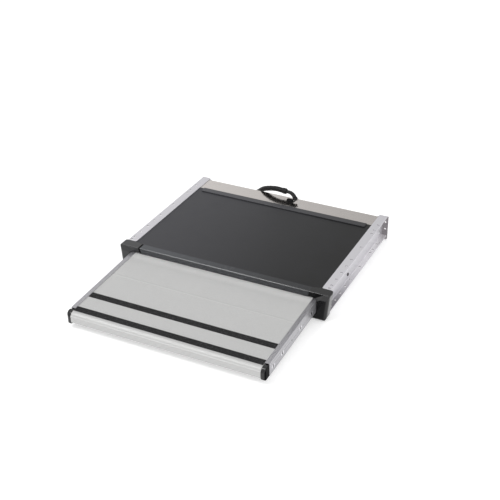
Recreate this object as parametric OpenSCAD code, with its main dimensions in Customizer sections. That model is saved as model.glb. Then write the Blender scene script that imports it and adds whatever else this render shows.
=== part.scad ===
// Caravan pull out step: a flat cassette that is bolted under the floor beside the door,
// and a powered step that slides out of it on a slight slope towards the front.
// It is drawn pulled out. X is the width, Y runs from the front to the back, Z is up.
// The origin is on the ground, in the middle of the rigid pieces' length and width.

/* [Cassette] */
// Width over the two side rails
cassette_w = 600; // [540:10:760]
// Height of a side rail
rail_h = 64; // [64:1:68]
// Width of a side rail's flanges
flange_w = 25; // [23:1:27]
// Depth of the open channel on the outer side of a side rail
channel_d = 15; // [12:1:17]
// Wall thickness of the side rails
rail_wall = 2; // [1.6:0.1:2.4]
// Diameter of the fixing holes in the side rails' flanges
fixing_hole_d = 6.5; // [5:0.5:8]
// Distance of the fixing holes from a side rail's outer edge
fixing_edge = 8; // [6:0.5:9]
// Length of the steel lid over the motor space
lid_d = 58; // [56:1:60]
// Thickness of the black cover and of the steel lid
sheet_t = 1.5; // [1:0.1:1.7]
// Width of the raised trim across the cover's back edge
trim_w = 21; // [16:1:30]
// Height of the trim above the cover
trim_h = 3; // [2:0.5:4]
// Thickness of the base pan and of the rear panel
pan_t = 1.5; // [1:0.1:2]
// Height of the side rails' top above the ground
stand_h = 76; // [74:1:80]

/* [Mouth] */
// Depth of the front profile
front_d = 22.5; // [20:0.5:26]
// Height of the front profile
front_h = 17.6; // [17:0.1:17.8]
// Half length of the front profile, up to the end caps
front_half_inset = 49; // [47:1:52]
// How far an end cap reaches out past the side rail
cap_side = 8; // [5:0.5:9]
// Depth of an end cap behind the front profile's face
cap_d = 28.5; // [27.5:0.5:30]
// How far the end cap's cheek bulges out in front of the front profile's face
cheek_d = 7; // [5:0.5:9]
// Gap between the front profile's left end and its end cap
seam_gap = 1.3; // [0.3:0.1:2]

/* [Step] */
// Travel of the step
travel = 285; // [240:5:300]
// Length of the step behind the cassette's front face when it is pulled out
tail_len = 125; // [125:1:140]
// How far the nose stands out of the cassette when the step is pushed in
nose_rest = 25.5; // [24:0.5:35]
// Slope of the slide, falling towards the front, in degrees
slope = 2; // [1.8:0.1:2.1]
// Depth of the tread below the side rails' top at the cassette's front face
tread_drop = 18.6; // [18.6:0.1:19.2]
// Width of a step rail
step_rail_w = 12; // [10:0.5:13]
// Height of a step rail
step_rail_h = 35.5; // [34:0.5:36]
// Height of a step rail's top above the tread
rail_proud = 0.8; // [0.4:0.1:1]
// Thickness of the tread planks
plank_h = 29.2; // [28:0.2:29.6]
// Wall thickness of the tread planks
plank_wall = 2; // [1.6:0.1:2.4]
// Spacing of the tread's ribs
rib_pitch = 3.3; // [3:0.1:5]
// Height of the tread's ribs
rib_h = 0.7; // [0.5:0.1:0.9]
// Width of the anti-slip strips
strip_w = 19; // [15:1:25]
// Thickness of the anti-slip strips
strip_t = 0.9; // [0.6:0.1:1]
// Radius of the nose's ribbed curve
nose_r = 17.8; // [16:0.2:19]
// Depth of the nose end caps
nose_cap_d = 25; // [22:1:30]

/* [Drive] */
// Space beside a step rail for its guide track
track_space = 9; // [9:0.2:10]
// Module of the racks and pinions
tooth_m = 1.25; // [1.2:0.01:1.3]
// Number of teeth of a pinion
pinion_teeth = 14; // [14:2:16]
// Width of a pinion
pinion_w = 6.5; // [5.5:0.5:6.5]
// Diameter of the sync shaft
sync_d = 8; // [6:0.5:9]
// Diameter of the drive spindle
spindle_d = 11; // [10:0.5:12]
// Diameter of the drive motor
motor_d = 36; // [30:1:37]
// Length of the drive motor
motor_len = 94; // [60:1:120]

/* [Cable] */
// Diameter of the cable's outer sleeve
sleeve_d = 13.5; // [12:0.5:14]
// Diameter of one wire
wire_d = 3; // [2.5:0.1:3.1]

/* [Hidden] */
$fn = 48;

// Clearances
seat_gap = 0.1;     // between fixed pieces that are pushed into each other
slide_gap = 0.3;    // between pieces that slide past each other
run_gap = 0.05;     // round a turning shaft

// Lengths along Y, from the cassette's front face
motor_space = 57;                              // from the pushed-in tail to the side rails' rear ends
cassette_d = tail_len + travel + motor_space;  // side rails' rear ends
lid_back = cassette_d - 8;
lid_front = lid_back - lid_d;
panel_y = lid_back - 7;                        // front face of the rear panel
rail_front = 6;                                // side rails' front ends, inside the end caps
bracket_t = 2;
foot_t = 2.5;                                  // plate under the gearbox
fixing_rows = concat([35, 51, 83, 120, 156, 193, 266],
    [for (from_back = [116, 95, 62]) cassette_d - from_back]);

// Distances across the width, from the middle
rail_out = cassette_w / 2;
web_out = rail_out - channel_d;
web_in = web_out - rail_wall;
lip_in = rail_out - flange_w;
fixing_x = rail_out - fixing_edge;
step_half = web_in - track_space;
step_in = step_half - step_rail_w;
front_half = rail_out - front_half_inset;
cap_out = rail_out + cap_side;
mouth_half = step_half + 1.7;                  // inner face of an end cap's cheek

// Groove in the side rails and in the front profile that holds the cover and the lid
groove_top = rail_wall + seat_gap;
groove_h = sheet_t + 0.4;
ledge_t = 1.6;
ledge_in = lip_in - 5;
cover_edge = web_in - 0.5;
groove_d = 6;
fillet_r = 2;                                  // in the side rails' outer corners

// Step, in its own sloping frame: s is the distance forward of the front face, h the height above the tread
nose_s = travel + nose_rest;
nose_cap_s = nose_s + 1;
curve_s = nose_s - 15.5;                       // start of the nose's ribbed curve
front_strip_s = curve_s - strip_w;             // back edges of the strips
rear_strip_s = front_strip_s - 67.5;
joint_s = nose_s - 199;                        // joint between the planks
tread_back_s = -12;
rail_low_h = rail_proud - step_rail_h;
tail_top_h = -3;                               // the rails' top is lower behind the tread
cap_back_s = nose_cap_s - nose_cap_d;
strip_seat_h = -rib_h + 0.1;
curve_end = asin(14.5 / nose_r);
rib_top_w = 1.4;
rib_base_w = 2.2;
screw_h = -19;
rear_screw_s = [35, 104];
front_screw_s = [nose_s - 152.5, nose_s - 97.5, nose_s - 44.5];
side_screw_d = 4.4;
screw_head_d = 8.4;
port_d = 9;                                    // screw ports inside the planks
beam_s = [25 - tail_len, 45 - tail_len];       // back and front face of the tail beam
beam_screw_s = (beam_s[0] + beam_s[1]) / 2;

// Guide tracks, in the sloping frame
track_top_h = -2;
track_wall = 2;
track_in = web_in - track_wall;
track_edge = step_half + 1;                    // inner edges of the track's ledges
shoe_room = [-12, -4];                         // height of the channel for the slide shoes
track_low_h = shoe_room[0] - 1.7;
track_y = [32, tail_len + travel + 10];
shoe_len = 40;
shoe_y = [tail_len - shoe_len, tail_len];
peg_d = 5;

// Racks and pinions: the rack's teeth point down, and a pinion rolls along under them
pitch_r = tooth_m * pinion_teeth / 2;
pinion_add = tooth_m;                          // height of a pinion tooth above the pitch circle
pinion_ded = 1.25 * tooth_m;
rack_add = 0.8 * tooth_m;                      // shorter than the pinion's, so that few teeth run free
rack_ded = 1.28 * tooth_m;
tooth_pitch = PI * tooth_m;
backlash = 0.15;
pressure = 20;
rack_pitch_h = track_low_h - 3 - rack_ded;
sync_h = rack_pitch_h - pitch_r;
sync_y = tail_len - 11;
pinion_in = step_half + 1.2;
rack_edges = [step_half + 1.4, web_in - 0.5];
rack_y = [sync_y - 16, sync_y + travel + 16];
bush_d = sync_d + 4;
pinion_bore_d = sync_d - 2;

// Spindle, along the slope in the middle of the width, with the tail beam over its nut
pan_top = -rail_h - seat_gap;
spindle_rise = 7.4;                            // axis above the side rails' underside, at the front face
spindle_h = -rail_h + tread_drop + spindle_rise;
beam_low_h = spindle_h + spindle_d / 2 + 3;
beam_screw_h = beam_low_h + 10.5;
journal_d = 8;
bearing_y = [-beam_s[1] - 24, -beam_s[1] - 8];
gearbox_y = tail_len + travel + 4;
gearbox_len = 34;
gearbox_half = 24;
gearbox_h = 39;
gearbox_low_z = pan_top + foot_t + 1.6;
gearbox_z = [gearbox_low_z, gearbox_low_z + gearbox_h];
motor_z = (gearbox_z[0] + gearbox_z[1]) / 2;
nut_half = 15;
nut_drop = 7.5;                                // nut's bottom below the spindle's axis

// Heights in the cassette, from the side rails' top
mouth_room = 3.7;                              // below the step rails in the mouth
mouth_low_z = -tread_drop + rail_low_h - mouth_room; // top of the end caps' lower leg
cap_leg_z = -15.5;                             // underside of the end caps' upper leg
bar_h = 13;
bar_d = 20;
bar_ledge_d = 14;

// The cable: a gland in the rear panel, a sleeve that comes up behind the lid and
// lies over its back edge, a taped end, and wires that turn down into a connector
gland_pos = [-190, -45];
gland_end_y = lid_back + 6;
sleeve_from_back = [[-190, 6, -45], [-190, 16, -45], [-182, 35, -45], [-163, 43, -43], [-142, 39, -37],
    [-125, 29, -25], [-110, 18, -11], [-93, 9, 3], [-72, 3, 12], [-48, -1, 17.5], [-26, -4, 18]];
wire_from_back = [[-12, -6, 18.3], [-6, -6.8, 18.4], [1, -8.5, 18.5], [8, -12, 17.8], [15, -16.5, 15.5],
    [21, -21, 11.5], [24.5, -25, 7], [24.5, -27.7, 3.8], [21.5, -28.8, 2.5], [18, -29, 2.3]];
tape_axis = [22, -3, 0.5];
tape_len = 14;
tape_d = sleeve_d + 1.5;
wire_spread = 3.2;
connector_size = [18, 14, 9];

// Frame of the whole part: the origin under the middle of the rigid pieces' length
back_y = cassette_d + bracket_t;
nose_flat_h = -10;
front_y = -nose_cap_s * cos(slope) - nose_flat_h * sin(slope);
mid_y = (back_y + front_y) / 2;

function along(points, dy) = [for (p = points) [p[0], p[1] + dy, p[2]]];
function unit(v) = v / norm(v);

// Moves from the cassette's coordinates into the part's frame
module placed() translate([0, -mid_y, stand_h]) children();

// Moves from the step's sloping coordinates into the cassette's
module sloped() translate([0, 0, -tread_drop]) rotate([slope, 0, 0]) children();

// Extrudes an outline of X and Z along Y
module along_y(from, to) translate([0, to, 0]) rotate([90, 0, 0]) linear_extrude(to - from) children();

// Extrudes an outline of Y and Z along X
module along_x(from, to) translate([from, 0, 0]) rotate([90, 0, 90]) linear_extrude(to - from) children();

// The left one of a pair
module mirrored() mirror([1, 0, 0]) children();

// A box between two corners
module block(low, high) translate(low) cube(high - low);

// A fillet in an inner corner that opens along +X and +Y
module corner_fill(r) difference() {
    translate([-0.5, -0.5]) square(r + 0.5);
    translate([r, r]) circle(r);
}

// What a round corner takes off a square one; the corner points along +X and +Y
module corner_waste(r) difference() {
    square(r + 1);
    circle(r);
}

// SIDE RAILS

// The part of the cross-section that also reaches into the end cap
module rail_low_section(grow = 0) {
    translate([lip_in - grow, -rail_h - grow]) square([flange_w + 2 * grow, rail_wall + 2 * grow]);
    translate([web_in - grow, -rail_h - grow])
        square([rail_wall + 2 * grow, rail_h - rail_wall - fillet_r + 2 * grow]);
    translate([ledge_in - grow, -groove_top - groove_h - ledge_t - grow])
        square([web_in - ledge_in + 1, ledge_t + 2 * grow]);
    translate([web_out + grow, -rail_h + rail_wall + grow]) corner_fill(fillet_r);
}
module rail_section() {
    rail_low_section();
    translate([lip_in, -rail_wall]) square([flange_w, rail_wall]);
    translate([web_in, -3 * rail_wall]) square([rail_wall, 3 * rail_wall]);
    translate([web_out, -rail_wall]) mirror([0, 1]) corner_fill(fillet_r);
}
// What the end cap covers of the top flange, in plan, with a fillet at the flange's inner corner
lip_r = 4;
module flange_cut() {
    translate([lip_in - 1, rail_front - 1]) square([flange_w + 2, cap_d + seat_gap - rail_front + 1]);
    difference() {
        translate([lip_in - 1, cap_d]) square([lip_r + 1, lip_r]);
        translate([lip_in + lip_r, cap_d + lip_r]) circle(lip_r - seat_gap);
    }
}

module side_rail() difference() {
    along_y(rail_front, cassette_d) rail_section();
    translate([0, 0, -rail_wall - fillet_r]) linear_extrude(rail_wall + fillet_r + 1) flange_cut();
    for (y = fixing_rows) translate([fixing_x, y, -rail_h - 1]) cylinder(d = fixing_hole_d, h = rail_h + 2);
    sloped() for (y = rivet_rows) translate([web_in - 1, y, rivet_h])
        rotate([0, 90, 0]) cylinder(d = rivet_d + 2 * run_gap, h = rail_wall + 2);
    for (z = bracket_rivet_z) translate([web_in - 1, bracket_rivet_y, z])
        rotate([0, 90, 0]) cylinder(d = rivet_d + 2 * run_gap, h = rail_wall + 2);
    translate([web_in - 1, web_screw_y, web_screw_z])
        rotate([0, 90, 0]) cylinder(d = web_screw_d + 2 * run_gap, h = rail_wall + 2);
}
module right_side_rail() color("gainsboro") placed() side_rail();
module left_side_rail() color("gainsboro") placed() mirrored() side_rail();

// COVER, LID, PANEL AND PAN

cover_top = -groove_top - seat_gap;
cover_front = front_d - groove_d + 0.5;

module top_cover() color("dimgray") placed()
    block([-cover_edge, cover_front, cover_top - sheet_t], [cover_edge, lid_front - seat_gap, cover_top]);

// A flat bar with rounded long edges, set in from the side rails
trim_half = lip_in - 15;
module cover_rear_trim() color("dimgray") placed() along_x(-trim_half, trim_half)
    translate([lid_front - trim_w, cover_top]) difference() {
        square([trim_w, trim_h]);
        translate([1.5, trim_h - 1.5]) mirror([1, 0]) corner_waste(1.5);
        translate([trim_w - 1.5, trim_h - 1.5]) corner_waste(1.5);
    }

// The lid's back edge is folded down over the rear panel
lid_lip = 9;
module rear_plate() color("lightgray") placed() difference() {
    union() {
        block([-cover_edge, lid_front + seat_gap, cover_top - sheet_t], [cover_edge, lid_back, cover_top]);
        block([-ledge_in + 1, lid_back - sheet_t, cover_top - lid_lip], [ledge_in - 1, lid_back, cover_top]);
    }
}

panel_top = cover_top - sheet_t - seat_gap;
panel_flange = 12;
relief_w = 15;
module rear_panel() color("dimgray") placed() difference() {
    union() {
        block([-web_in + 0.2, panel_y, -rail_h], [web_in - 0.2, panel_y + pan_t, panel_top - ledge_t - 0.8]);
        block([-ledge_in + 0.2, panel_y, -rail_h], [ledge_in - 0.2, panel_y + pan_t, panel_top]);
        block([-lip_in, panel_y - panel_flange, -rail_h], [lip_in, panel_y + pan_t, -rail_h + pan_t]);
    }
    // Reliefs over the side rails' lower flanges and round the brackets' tabs
    for (side = [-1, 1]) translate([side * (lip_in + 7), panel_y, -rail_h])
        cube([relief_w, 3 * panel_flange, 2 * rail_wall + 0.4], center = true);
    for (side = [-1, 1]) translate([side * web_in, panel_y, (bracket_tab_z[0] + bracket_tab_z[1]) / 2])
        cube([2 * bracket_t + 0.4, 3 * panel_flange, bracket_tab_z[1] - bracket_tab_z[0] + 2], center = true);
    translate([gland_pos[0], panel_y - 1, gland_pos[1]]) rotate([-90, 0, 0])
        cylinder(d = gland_d + 0.2, h = pan_t + 2);
}

pan_front = cap_d + 1;
pan_half = lip_in + 6;
bead_pitch = (panel_y - 52) / 5;
bead_rows = [for (i = [0 : 3]) 90 + i * bead_pitch];
bead_half = pan_half - 60;
bead_h = 2;
pan_screw_rows = [for (i = [0 : 3]) 60 + i * (panel_y - 92) / 3];
pan_screw_x = lip_in + 3.5;
pan_screw_d = 3.5;
module base_pan() color("dimgray") placed() difference() {
    union() {
        block([-pan_half, pan_front, pan_top - pan_t], [pan_half, panel_y + pan_t, pan_top]);
        for (y = bead_rows) along_y_bar(y);
    }
    for (y = bead_rows) for (x = [-3 : 3]) translate([x * bead_half / 3.5, y + 40, pan_top - pan_t - 1])
        drain_slot();
    for (side = [-1, 1], y = pan_screw_rows) translate([side * pan_screw_x, y, pan_top - pan_t - 1])
        cylinder(d = pan_screw_d + 2 * run_gap, h = pan_t + 2);
}

// A raised bead across the pan, pressed downwards
module along_y_bar(y) along_x(-bead_half, bead_half) translate([y, pan_top - pan_t])
    polygon([[-8, 0], [-6, -bead_h], [6, -bead_h], [8, 0]]);

module drain_slot() linear_extrude(pan_t + 2) union() {
    square([24, 5], center = true);
    for (end = [-12, 12]) translate([end, 0]) circle(2.5);
}

// MOUTH OF THE CASSETTE

face_lean = 2;
hollow_back = front_d - groove_d - 2;
wiper_y = [9, 12];
front_low_z = -14.5;
module front_profile_section() difference() {
    polygon([[0, -1], [face_lean, -front_h], [5.5, -front_h], [6, front_low_z], [front_d, front_low_z],
        [front_d, 0], [1, 0]]);
    polygon([[2.4, -2.4], [3.8, front_low_z + 2], [hollow_back, front_low_z + 2], [hollow_back, -2.4]]);
    translate([front_d - groove_d, -groove_top - groove_h]) square([groove_d + 1, groove_h]);
    translate([wiper_y[0], front_low_z - 1]) square([wiper_y[1] - wiper_y[0], 4]);
    translate([hollow_back + 2, front_low_z + 2]) square([4, 6]);
}
// Its ends lean inwards, and the left one leaves a seam beside the end cap
seam_lean = 3;
profile_top = [-front_half + seam_gap, front_half - seat_gap];
module front_profile() color("darkslategray") placed() intersection() {
    along_x(-front_half, front_half) front_profile_section();
    along_y(-1, front_d + 1) polygon([[profile_top[0] + seam_lean, -front_h],
        [profile_top[1] - seam_lean, -front_h], [profile_top[1], 0], [profile_top[0], 0]]);
}

// Rubber wiper: a bead in the profile's hollow, a neck through its slot and a lip above the tread
wiper_tip_z = -tread_drop + (wiper_y[0] + 3) * tan(slope) + 0.6;
wiper_half = front_half - seam_lean - seam_gap;
module wiper_seal() color("black") placed() along_x(-wiper_half, wiper_half) union() {
    translate([wiper_y[0] - 1, front_low_z + 2 + seat_gap]) square([5, 2]);
    translate([wiper_y[0] + seat_gap, front_low_z - 1]) square([3 - 2 * seat_gap, 4]);
    polygon([[wiper_y[1] - 0.2, wiper_tip_z], [wiper_y[1] + 0.8, wiper_tip_z],
        [wiper_y[1] + 0.5, front_low_z - seat_gap], [wiper_y[0] - 0.5, front_low_z - seat_gap]]);
}

module lower_front_bar() color("silver") placed()
    along_x(-front_half + seat_gap, front_half - seat_gap) difference() {
        union() {
            translate([0, mouth_low_z - bar_h]) square([bar_d, bar_h]);
            translate([bar_d - 1, -rail_h]) square([bar_ledge_d + 1, rail_wall]);
        }
        translate([2, mouth_low_z - bar_h + 2]) square([bar_d - 4, bar_h - 4]);
    }

// End cap: a C-shaped moulding that takes the side rail's end, with the step's opening on its inner side
cap_top_r = 4;
cap_low_r = 12;
cap_front_r = 10;
cap_rear_r = 9;
cap_taper = 6;                                 // how much narrower the cap is at the bottom
cap_low_c = [cap_out - cap_taper - cap_low_r, -stand_h + cap_low_r];
cap_top_c = [cap_out - cap_top_r, -cap_top_r];
cap_lean = acos((cap_low_r - cap_top_r) / norm(cap_top_c - cap_low_c))
    - atan2(cap_top_c[1] - cap_low_c[1], cap_top_c[0] - cap_low_c[0]);
function arc(c, r, from, to, steps) = [for (i = [0 : steps]) let (a = from + (to - from) * i / steps)
    c + r * [cos(a), sin(a)]];
module cap_front_view() polygon(concat([[front_half, -stand_h]], arc(cap_low_c, cap_low_r, -90, -cap_lean, 8),
    arc(cap_top_c, cap_top_r, -cap_lean, 90, 8),
    [[front_half, 0], [front_half - seam_lean, -front_h], [front_half, -front_h]]));
// Side view: upright at the top, a bulging cheek, and a rounded lower front edge
cheek_fall = 14;                               // the bulge's full depth is reached this far below the top
module cap_side_view() difference() {
    polygon([[1, 0], [0, -1], [-cheek_d, -cheek_fall], [-cheek_d, -stand_h], [cap_d, -stand_h], [cap_d, 0]]);
    translate([-cheek_d + 8, -stand_h + 8]) mirror([1, 1]) corner_waste(8);
}
// Plan view: round outer corners, and a back edge that slants from the side rail's lip to the profile
module cap_plan_view() difference() {
    translate([front_half - 20, -cheek_d - 1]) square([cap_out - front_half + 20, cap_d + cheek_d + 1]);
    translate([cap_out - cap_front_r, -cheek_d + cap_front_r]) mirror([0, 1]) corner_waste(cap_front_r);
    translate([cap_out - cap_rear_r, cap_d - cap_rear_r]) corner_waste(cap_rear_r);
    polygon([[front_half - 21, front_d], [front_half, front_d], [lip_in, cap_d], [lip_in, cap_d + 1],
        [front_half - 21, cap_d + 1]]);
}
module end_cap() {
    difference() {
        intersection() {
            along_y(-cheek_d, cap_d) cap_front_view();
            along_x(front_half - seam_lean - 1, cap_out) cap_side_view();
            translate([cap_out, 0, -cap_top_r]) rotate([0, cap_lean, 0])
                translate([-cap_out, 0, -stand_h]) linear_extrude(stand_h + 20) cap_plan_view();
        }
        // Opening for the step
        block([front_half - seam_lean - 2, -cheek_d - 1, mouth_low_z], [mouth_half, cap_d + 1, cap_leg_z]);
        // Above the step the face stays level with the front profile's
        cheek_cut();
        // Pocket for the side rail, and a slot for the cover
        along_y(rail_front - seat_gap, cap_d + 1) rail_low_section(seat_gap);
        block([front_half - seam_lean - 2, cover_front - 0.3, -groove_top - groove_h],
            [web_in, cap_d + 1, -groove_top]);
        // Moulded hollow behind the upper leg
        block([front_half + 3, 4, cap_leg_z - 1],
            [step_in - 2, cap_d - 4, -groove_top - groove_h - ledge_t - 2]);
    }
    // Fillet over the inner corner of the side rail's flange
    translate([0, 0, -rail_wall]) linear_extrude(rail_wall) difference() {
        translate([lip_in, cap_d - 1]) square([lip_r, lip_r + 1]);
        translate([lip_in + lip_r, cap_d + lip_r]) circle(lip_r);
    }
}
// The cheek's bulge ends in a slanting facet that rises from the opening's corner to the outer edge
facet_low = [mouth_half - 2, -12.5];
facet_high = [rail_out - 12, -3.5];
module cheek_cut() {
    rise = atan2(facet_high[1] - facet_low[1], facet_high[0] - facet_low[0]);
    translate([facet_low[0], 0, facet_low[1]]) rotate([0, -rise, 0]) along_x(-60, 60)
        polygon([[0, 0], [0, 60], [-cheek_d - 1, 60], [-cheek_d - 1, -cheek_d - 1]]);
}
module right_end_cap() color("#2b2b2d") placed() end_cap();
module left_end_cap() color("#2b2b2d") placed() mirrored() end_cap();

// Glide pads in the mouth, under and over each step rail
module mouth_glide_pair() {
    difference() {
        block([step_in + 0.5, 3, mouth_low_z], [step_half - 0.5, cap_d - 3, -tread_drop]);
        sloped() block([0, -100, rail_low_h - slide_gap], [rail_out, 100, 60]);
    }
    difference() {
        block([step_in + 0.5, 3, -tread_drop], [step_half - 0.5, cap_d - 3, cap_leg_z]);
        sloped() block([0, -100, -60], [rail_out, 100, rail_proud + slide_gap]);
    }
}
module mouth_glides() color("#303032") placed() {
    mouth_glide_pair();
    mirrored() mouth_glide_pair();
}

// REAR BRACKETS: a plate across the side rail's end with a foot, and a tab on the web's inner side

bracket_tab_z = [-54, -24];
bracket_tab_len = 30;
bracket_holes_z = [-20, -42];
bracket_hole_x = rail_out - 6;
bracket_rivet_z = [-30, -48];
bracket_rivet_y = cassette_d - 22;
rivet_d = 4;
module rear_bracket() difference() {
    union() {
        block([web_in - bracket_t, cassette_d, -stand_h], [rail_out + 2, cassette_d + bracket_t, -1]);
        block([web_in - bracket_t, cassette_d - bracket_tab_len, bracket_tab_z[0]],
            [web_in, cassette_d + bracket_t, bracket_tab_z[1]]);
    }
    for (z = bracket_holes_z) translate([bracket_hole_x, cassette_d - 1, z])
        rotate([-90, 0, 0]) cylinder(d = 5, h = bracket_t + 2);
    for (z = bracket_rivet_z) translate([web_in - bracket_t - 1, bracket_rivet_y, z])
        rotate([0, 90, 0]) cylinder(d = rivet_d + 2 * run_gap, h = bracket_t + 2);
    translate([rail_out + 2, cassette_d - 1, -stand_h]) rotate([-90, 0, 0]) cylinder(r = 3, h = bracket_t + 2);
}
module right_rear_bracket() color("gray") placed() rear_bracket();
module left_rear_bracket() color("gray") placed() mirrored() rear_bracket();

// A dome-headed rivet along X, its head on the outer side of the web
module web_rivet(inner_x) {
    translate([inner_x, 0, 0]) rotate([0, 90, 0]) cylinder(d = rivet_d, h = web_out - inner_x + 0.5);
    translate([web_out, 0, 0]) rotate([0, 90, 0])
        rotate_extrude() polygon([[0, 0], [rivet_d, 0], [rivet_d - 0.3, 0.6], [rivet_d - 1.1, 1.2], [1.6, 1.6],
            [0, 1.7]]);
}
module bracket_rivet_set() for (z = bracket_rivet_z)
    translate([0, bracket_rivet_y, z]) web_rivet(web_in - bracket_t);
module bracket_rivets() color("gray") placed() {
    bracket_rivet_set();
    mirrored() bracket_rivet_set();
}

// Flat-headed screws in the webs
web_screw_y = 190;
web_screw_z = -45.6;
web_screw_d = 5;
module cross_recess(size, depth) for (a = [0, 90])
    rotate(a) translate([-size / 2, -0.5, -depth]) cube([size, 1, depth + 1]);
module web_screw() translate([web_in, web_screw_y, web_screw_z]) rotate([0, 90, 0]) difference() {
    union() {
        cylinder(d = web_screw_d, h = rail_wall + 0.5);
        translate([0, 0, rail_wall]) cylinder(d1 = 2 * web_screw_d, d2 = 1.7 * web_screw_d, h = 1.9);
    }
    translate([0, 0, rail_wall + 1.9]) cross_recess(5, 1.2);
}
module web_screws() color("#505052") placed() {
    web_screw();
    mirrored() web_screw();
}

module pan_screws() color("gray") placed() for (side = [-1, 1], y = pan_screw_rows)
    translate([side * pan_screw_x, y, pan_top - pan_t]) {
        cylinder(d = pan_screw_d, h = pan_t);
        translate([0, 0, -2]) cylinder(d1 = 5, d2 = 7, h = 2);
    }

// GUIDE TRACKS, RACKS AND STOPS

rivet_rows = [track_y[0] + 38, (track_y[0] + track_y[1]) / 2 - 12, track_y[1] - 62];
rivet_h = (shoe_room[0] + shoe_room[1]) / 2;
module track_section() {
    translate([track_in, track_low_h]) square([track_wall, track_top_h - track_low_h]);
    translate([track_edge, shoe_room[1]]) square([web_in - track_edge, track_top_h - shoe_room[1]]);
    translate([track_edge, track_low_h]) square([web_in - track_edge, shoe_room[0] - track_low_h]);
}
module guide_track() sloped() difference() {
    along_y(track_y[0], track_y[1]) track_section();
    for (y = rivet_rows) translate([track_in - 1, y, rivet_h])
        rotate([0, 90, 0]) cylinder(d = rivet_d + 2 * run_gap, h = track_wall + 2);
}
module right_guide_track() color("silver") placed() guide_track();
module left_guide_track() color("silver") placed() mirrored() guide_track();

module track_rivet_set() sloped() for (y = rivet_rows) translate([0, y, rivet_h]) web_rivet(track_in);
module track_rivets() color("gray") placed() {
    track_rivet_set();
    mirrored() track_rivet_set();
}

// Rack: a straight bar with teeth of 20 degrees on its underside; one tooth stands over the sync shaft
rack_teeth_before = floor((sync_y - rack_y[0]) / tooth_pitch);
rack_teeth_after = floor((rack_y[1] - sync_y) / tooth_pitch);
module rack() {
    tip = tooth_pitch / 4 - rack_add * tan(pressure);
    root = tooth_pitch / 4 + rack_ded * tan(pressure);
    sloped() along_x(rack_edges[0], rack_edges[1]) {
        translate([rack_y[0], rack_pitch_h + rack_ded])
            square([rack_y[1] - rack_y[0], track_low_h - rack_pitch_h - rack_ded]);
        for (i = [-rack_teeth_before + 1 : rack_teeth_after - 1])
            translate([sync_y + i * tooth_pitch, rack_pitch_h])
                polygon([[-root, rack_ded + 0.2], [-root, rack_ded], [-tip, -rack_add], [tip, -rack_add],
                    [root, rack_ded], [root, rack_ded + 0.2]]);
    }
}
module right_rack() color("silver") placed() rack();
module left_rack() color("silver") placed() mirrored() rack();

// Rubber blocks in the tracks that end the travel both ways
stop_len = 7;
module track_stop(front_y) sloped()
    block([track_edge + 0.5, front_y, shoe_room[0]], [track_in, front_y + stop_len, shoe_room[1]]);
module front_stops() color("black") placed() {
    track_stop(shoe_y[0] - slide_gap - stop_len);
    mirrored() track_stop(shoe_y[0] - slide_gap - stop_len);
}
module rear_stops() color("black") placed() {
    track_stop(shoe_y[1] + travel + slide_gap);
    mirrored() track_stop(shoe_y[1] + travel + slide_gap);
}

// DRIVE

// The gearbox takes the spindle's end along the slope; the motor lies across behind the step
module gearbox() color("silver") placed() difference() {
    union() {
        block([-gearbox_half, gearbox_y, gearbox_z[0]], [gearbox_half, gearbox_y + gearbox_len, gearbox_z[1]]);
        translate([gearbox_half, gearbox_y + gearbox_len / 2, motor_z]) rotate([0, 90, 0])
            cylinder(d = motor_d - 6, h = 4);
        for (x = [-gearbox_half + 6 : 9 : gearbox_half - 6])
            block([x, gearbox_y + 4, gearbox_z[1] - 1], [x + 3, gearbox_y + gearbox_len - 4, gearbox_z[1] + 2]);
    }
    sloped() translate([0, gearbox_y - 20, spindle_h]) rotate([-90, 0, 0])
        cylinder(d = journal_d + 2 * run_gap, h = 37);
}
module drive_motor() color("dimgray") placed()
    translate([gearbox_half + 4, gearbox_y + gearbox_len / 2, motor_z]) rotate([0, 90, 0]) {
        cylinder(d = motor_d, h = motor_len);
        translate([0, 0, motor_len]) cylinder(d = motor_d - 4, h = 3);
        translate([0, 0, motor_len + 3]) cylinder(d = 14, h = 4);
        for (side = [-1, 1]) translate([-5, side * 9 - 0.5, motor_len + 2]) cube([6, 1, 9]);
    }

// An angle bracket under the gearbox with an upright in front of it that the spindle passes through
foot_back = panel_y - panel_flange - 0.5;
foot_x = [-gearbox_half - 16, gearbox_half + 36];
module motor_bracket() color("gray") placed() difference() {
    union() {
        block([foot_x[0], gearbox_y - foot_t, pan_top], [foot_x[1], foot_back, pan_top + foot_t]);
        block([-gearbox_half - 2, gearbox_y - foot_t, pan_top],
            [gearbox_half + 2, gearbox_y, gearbox_z[1] - 2]);
        block([-gearbox_half, gearbox_y, pan_top], [gearbox_half, foot_back, gearbox_z[0]]);
    }
    sloped() translate([0, gearbox_y - 20, spindle_h]) rotate([-90, 0, 0]) cylinder(d = spindle_d + 3, h = 30);
    for (x = [foot_x[0] + 7, foot_x[1] - 10]) translate([x, gearbox_y + gearbox_len / 2, pan_top - 1])
        cylinder(d = 5, h = foot_t + 2);
}

// Block on the pan that carries the spindle's front end
module spindle_bearing() color("#303032") placed() difference() {
    union() {
        block([-26, bearing_y[0], pan_top], [26, bearing_y[1], pan_top + 4]);
        difference() {
            block([-13, bearing_y[0], pan_top], [13, bearing_y[1], -tread_drop]);
            sloped() block([-40, 0, beam_low_h - 1], [40, 140, 60]);
        }
    }
    sloped() translate([0, bearing_y[0] - 5, spindle_h]) rotate([-90, 0, 0])
        cylinder(d = journal_d + 2 * run_gap, h = 30);
    for (side = [-1, 1]) translate([side * 20, (bearing_y[0] + bearing_y[1]) / 2, pan_top - 1])
        cylinder(d = 4.2, h = 7);
}

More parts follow.
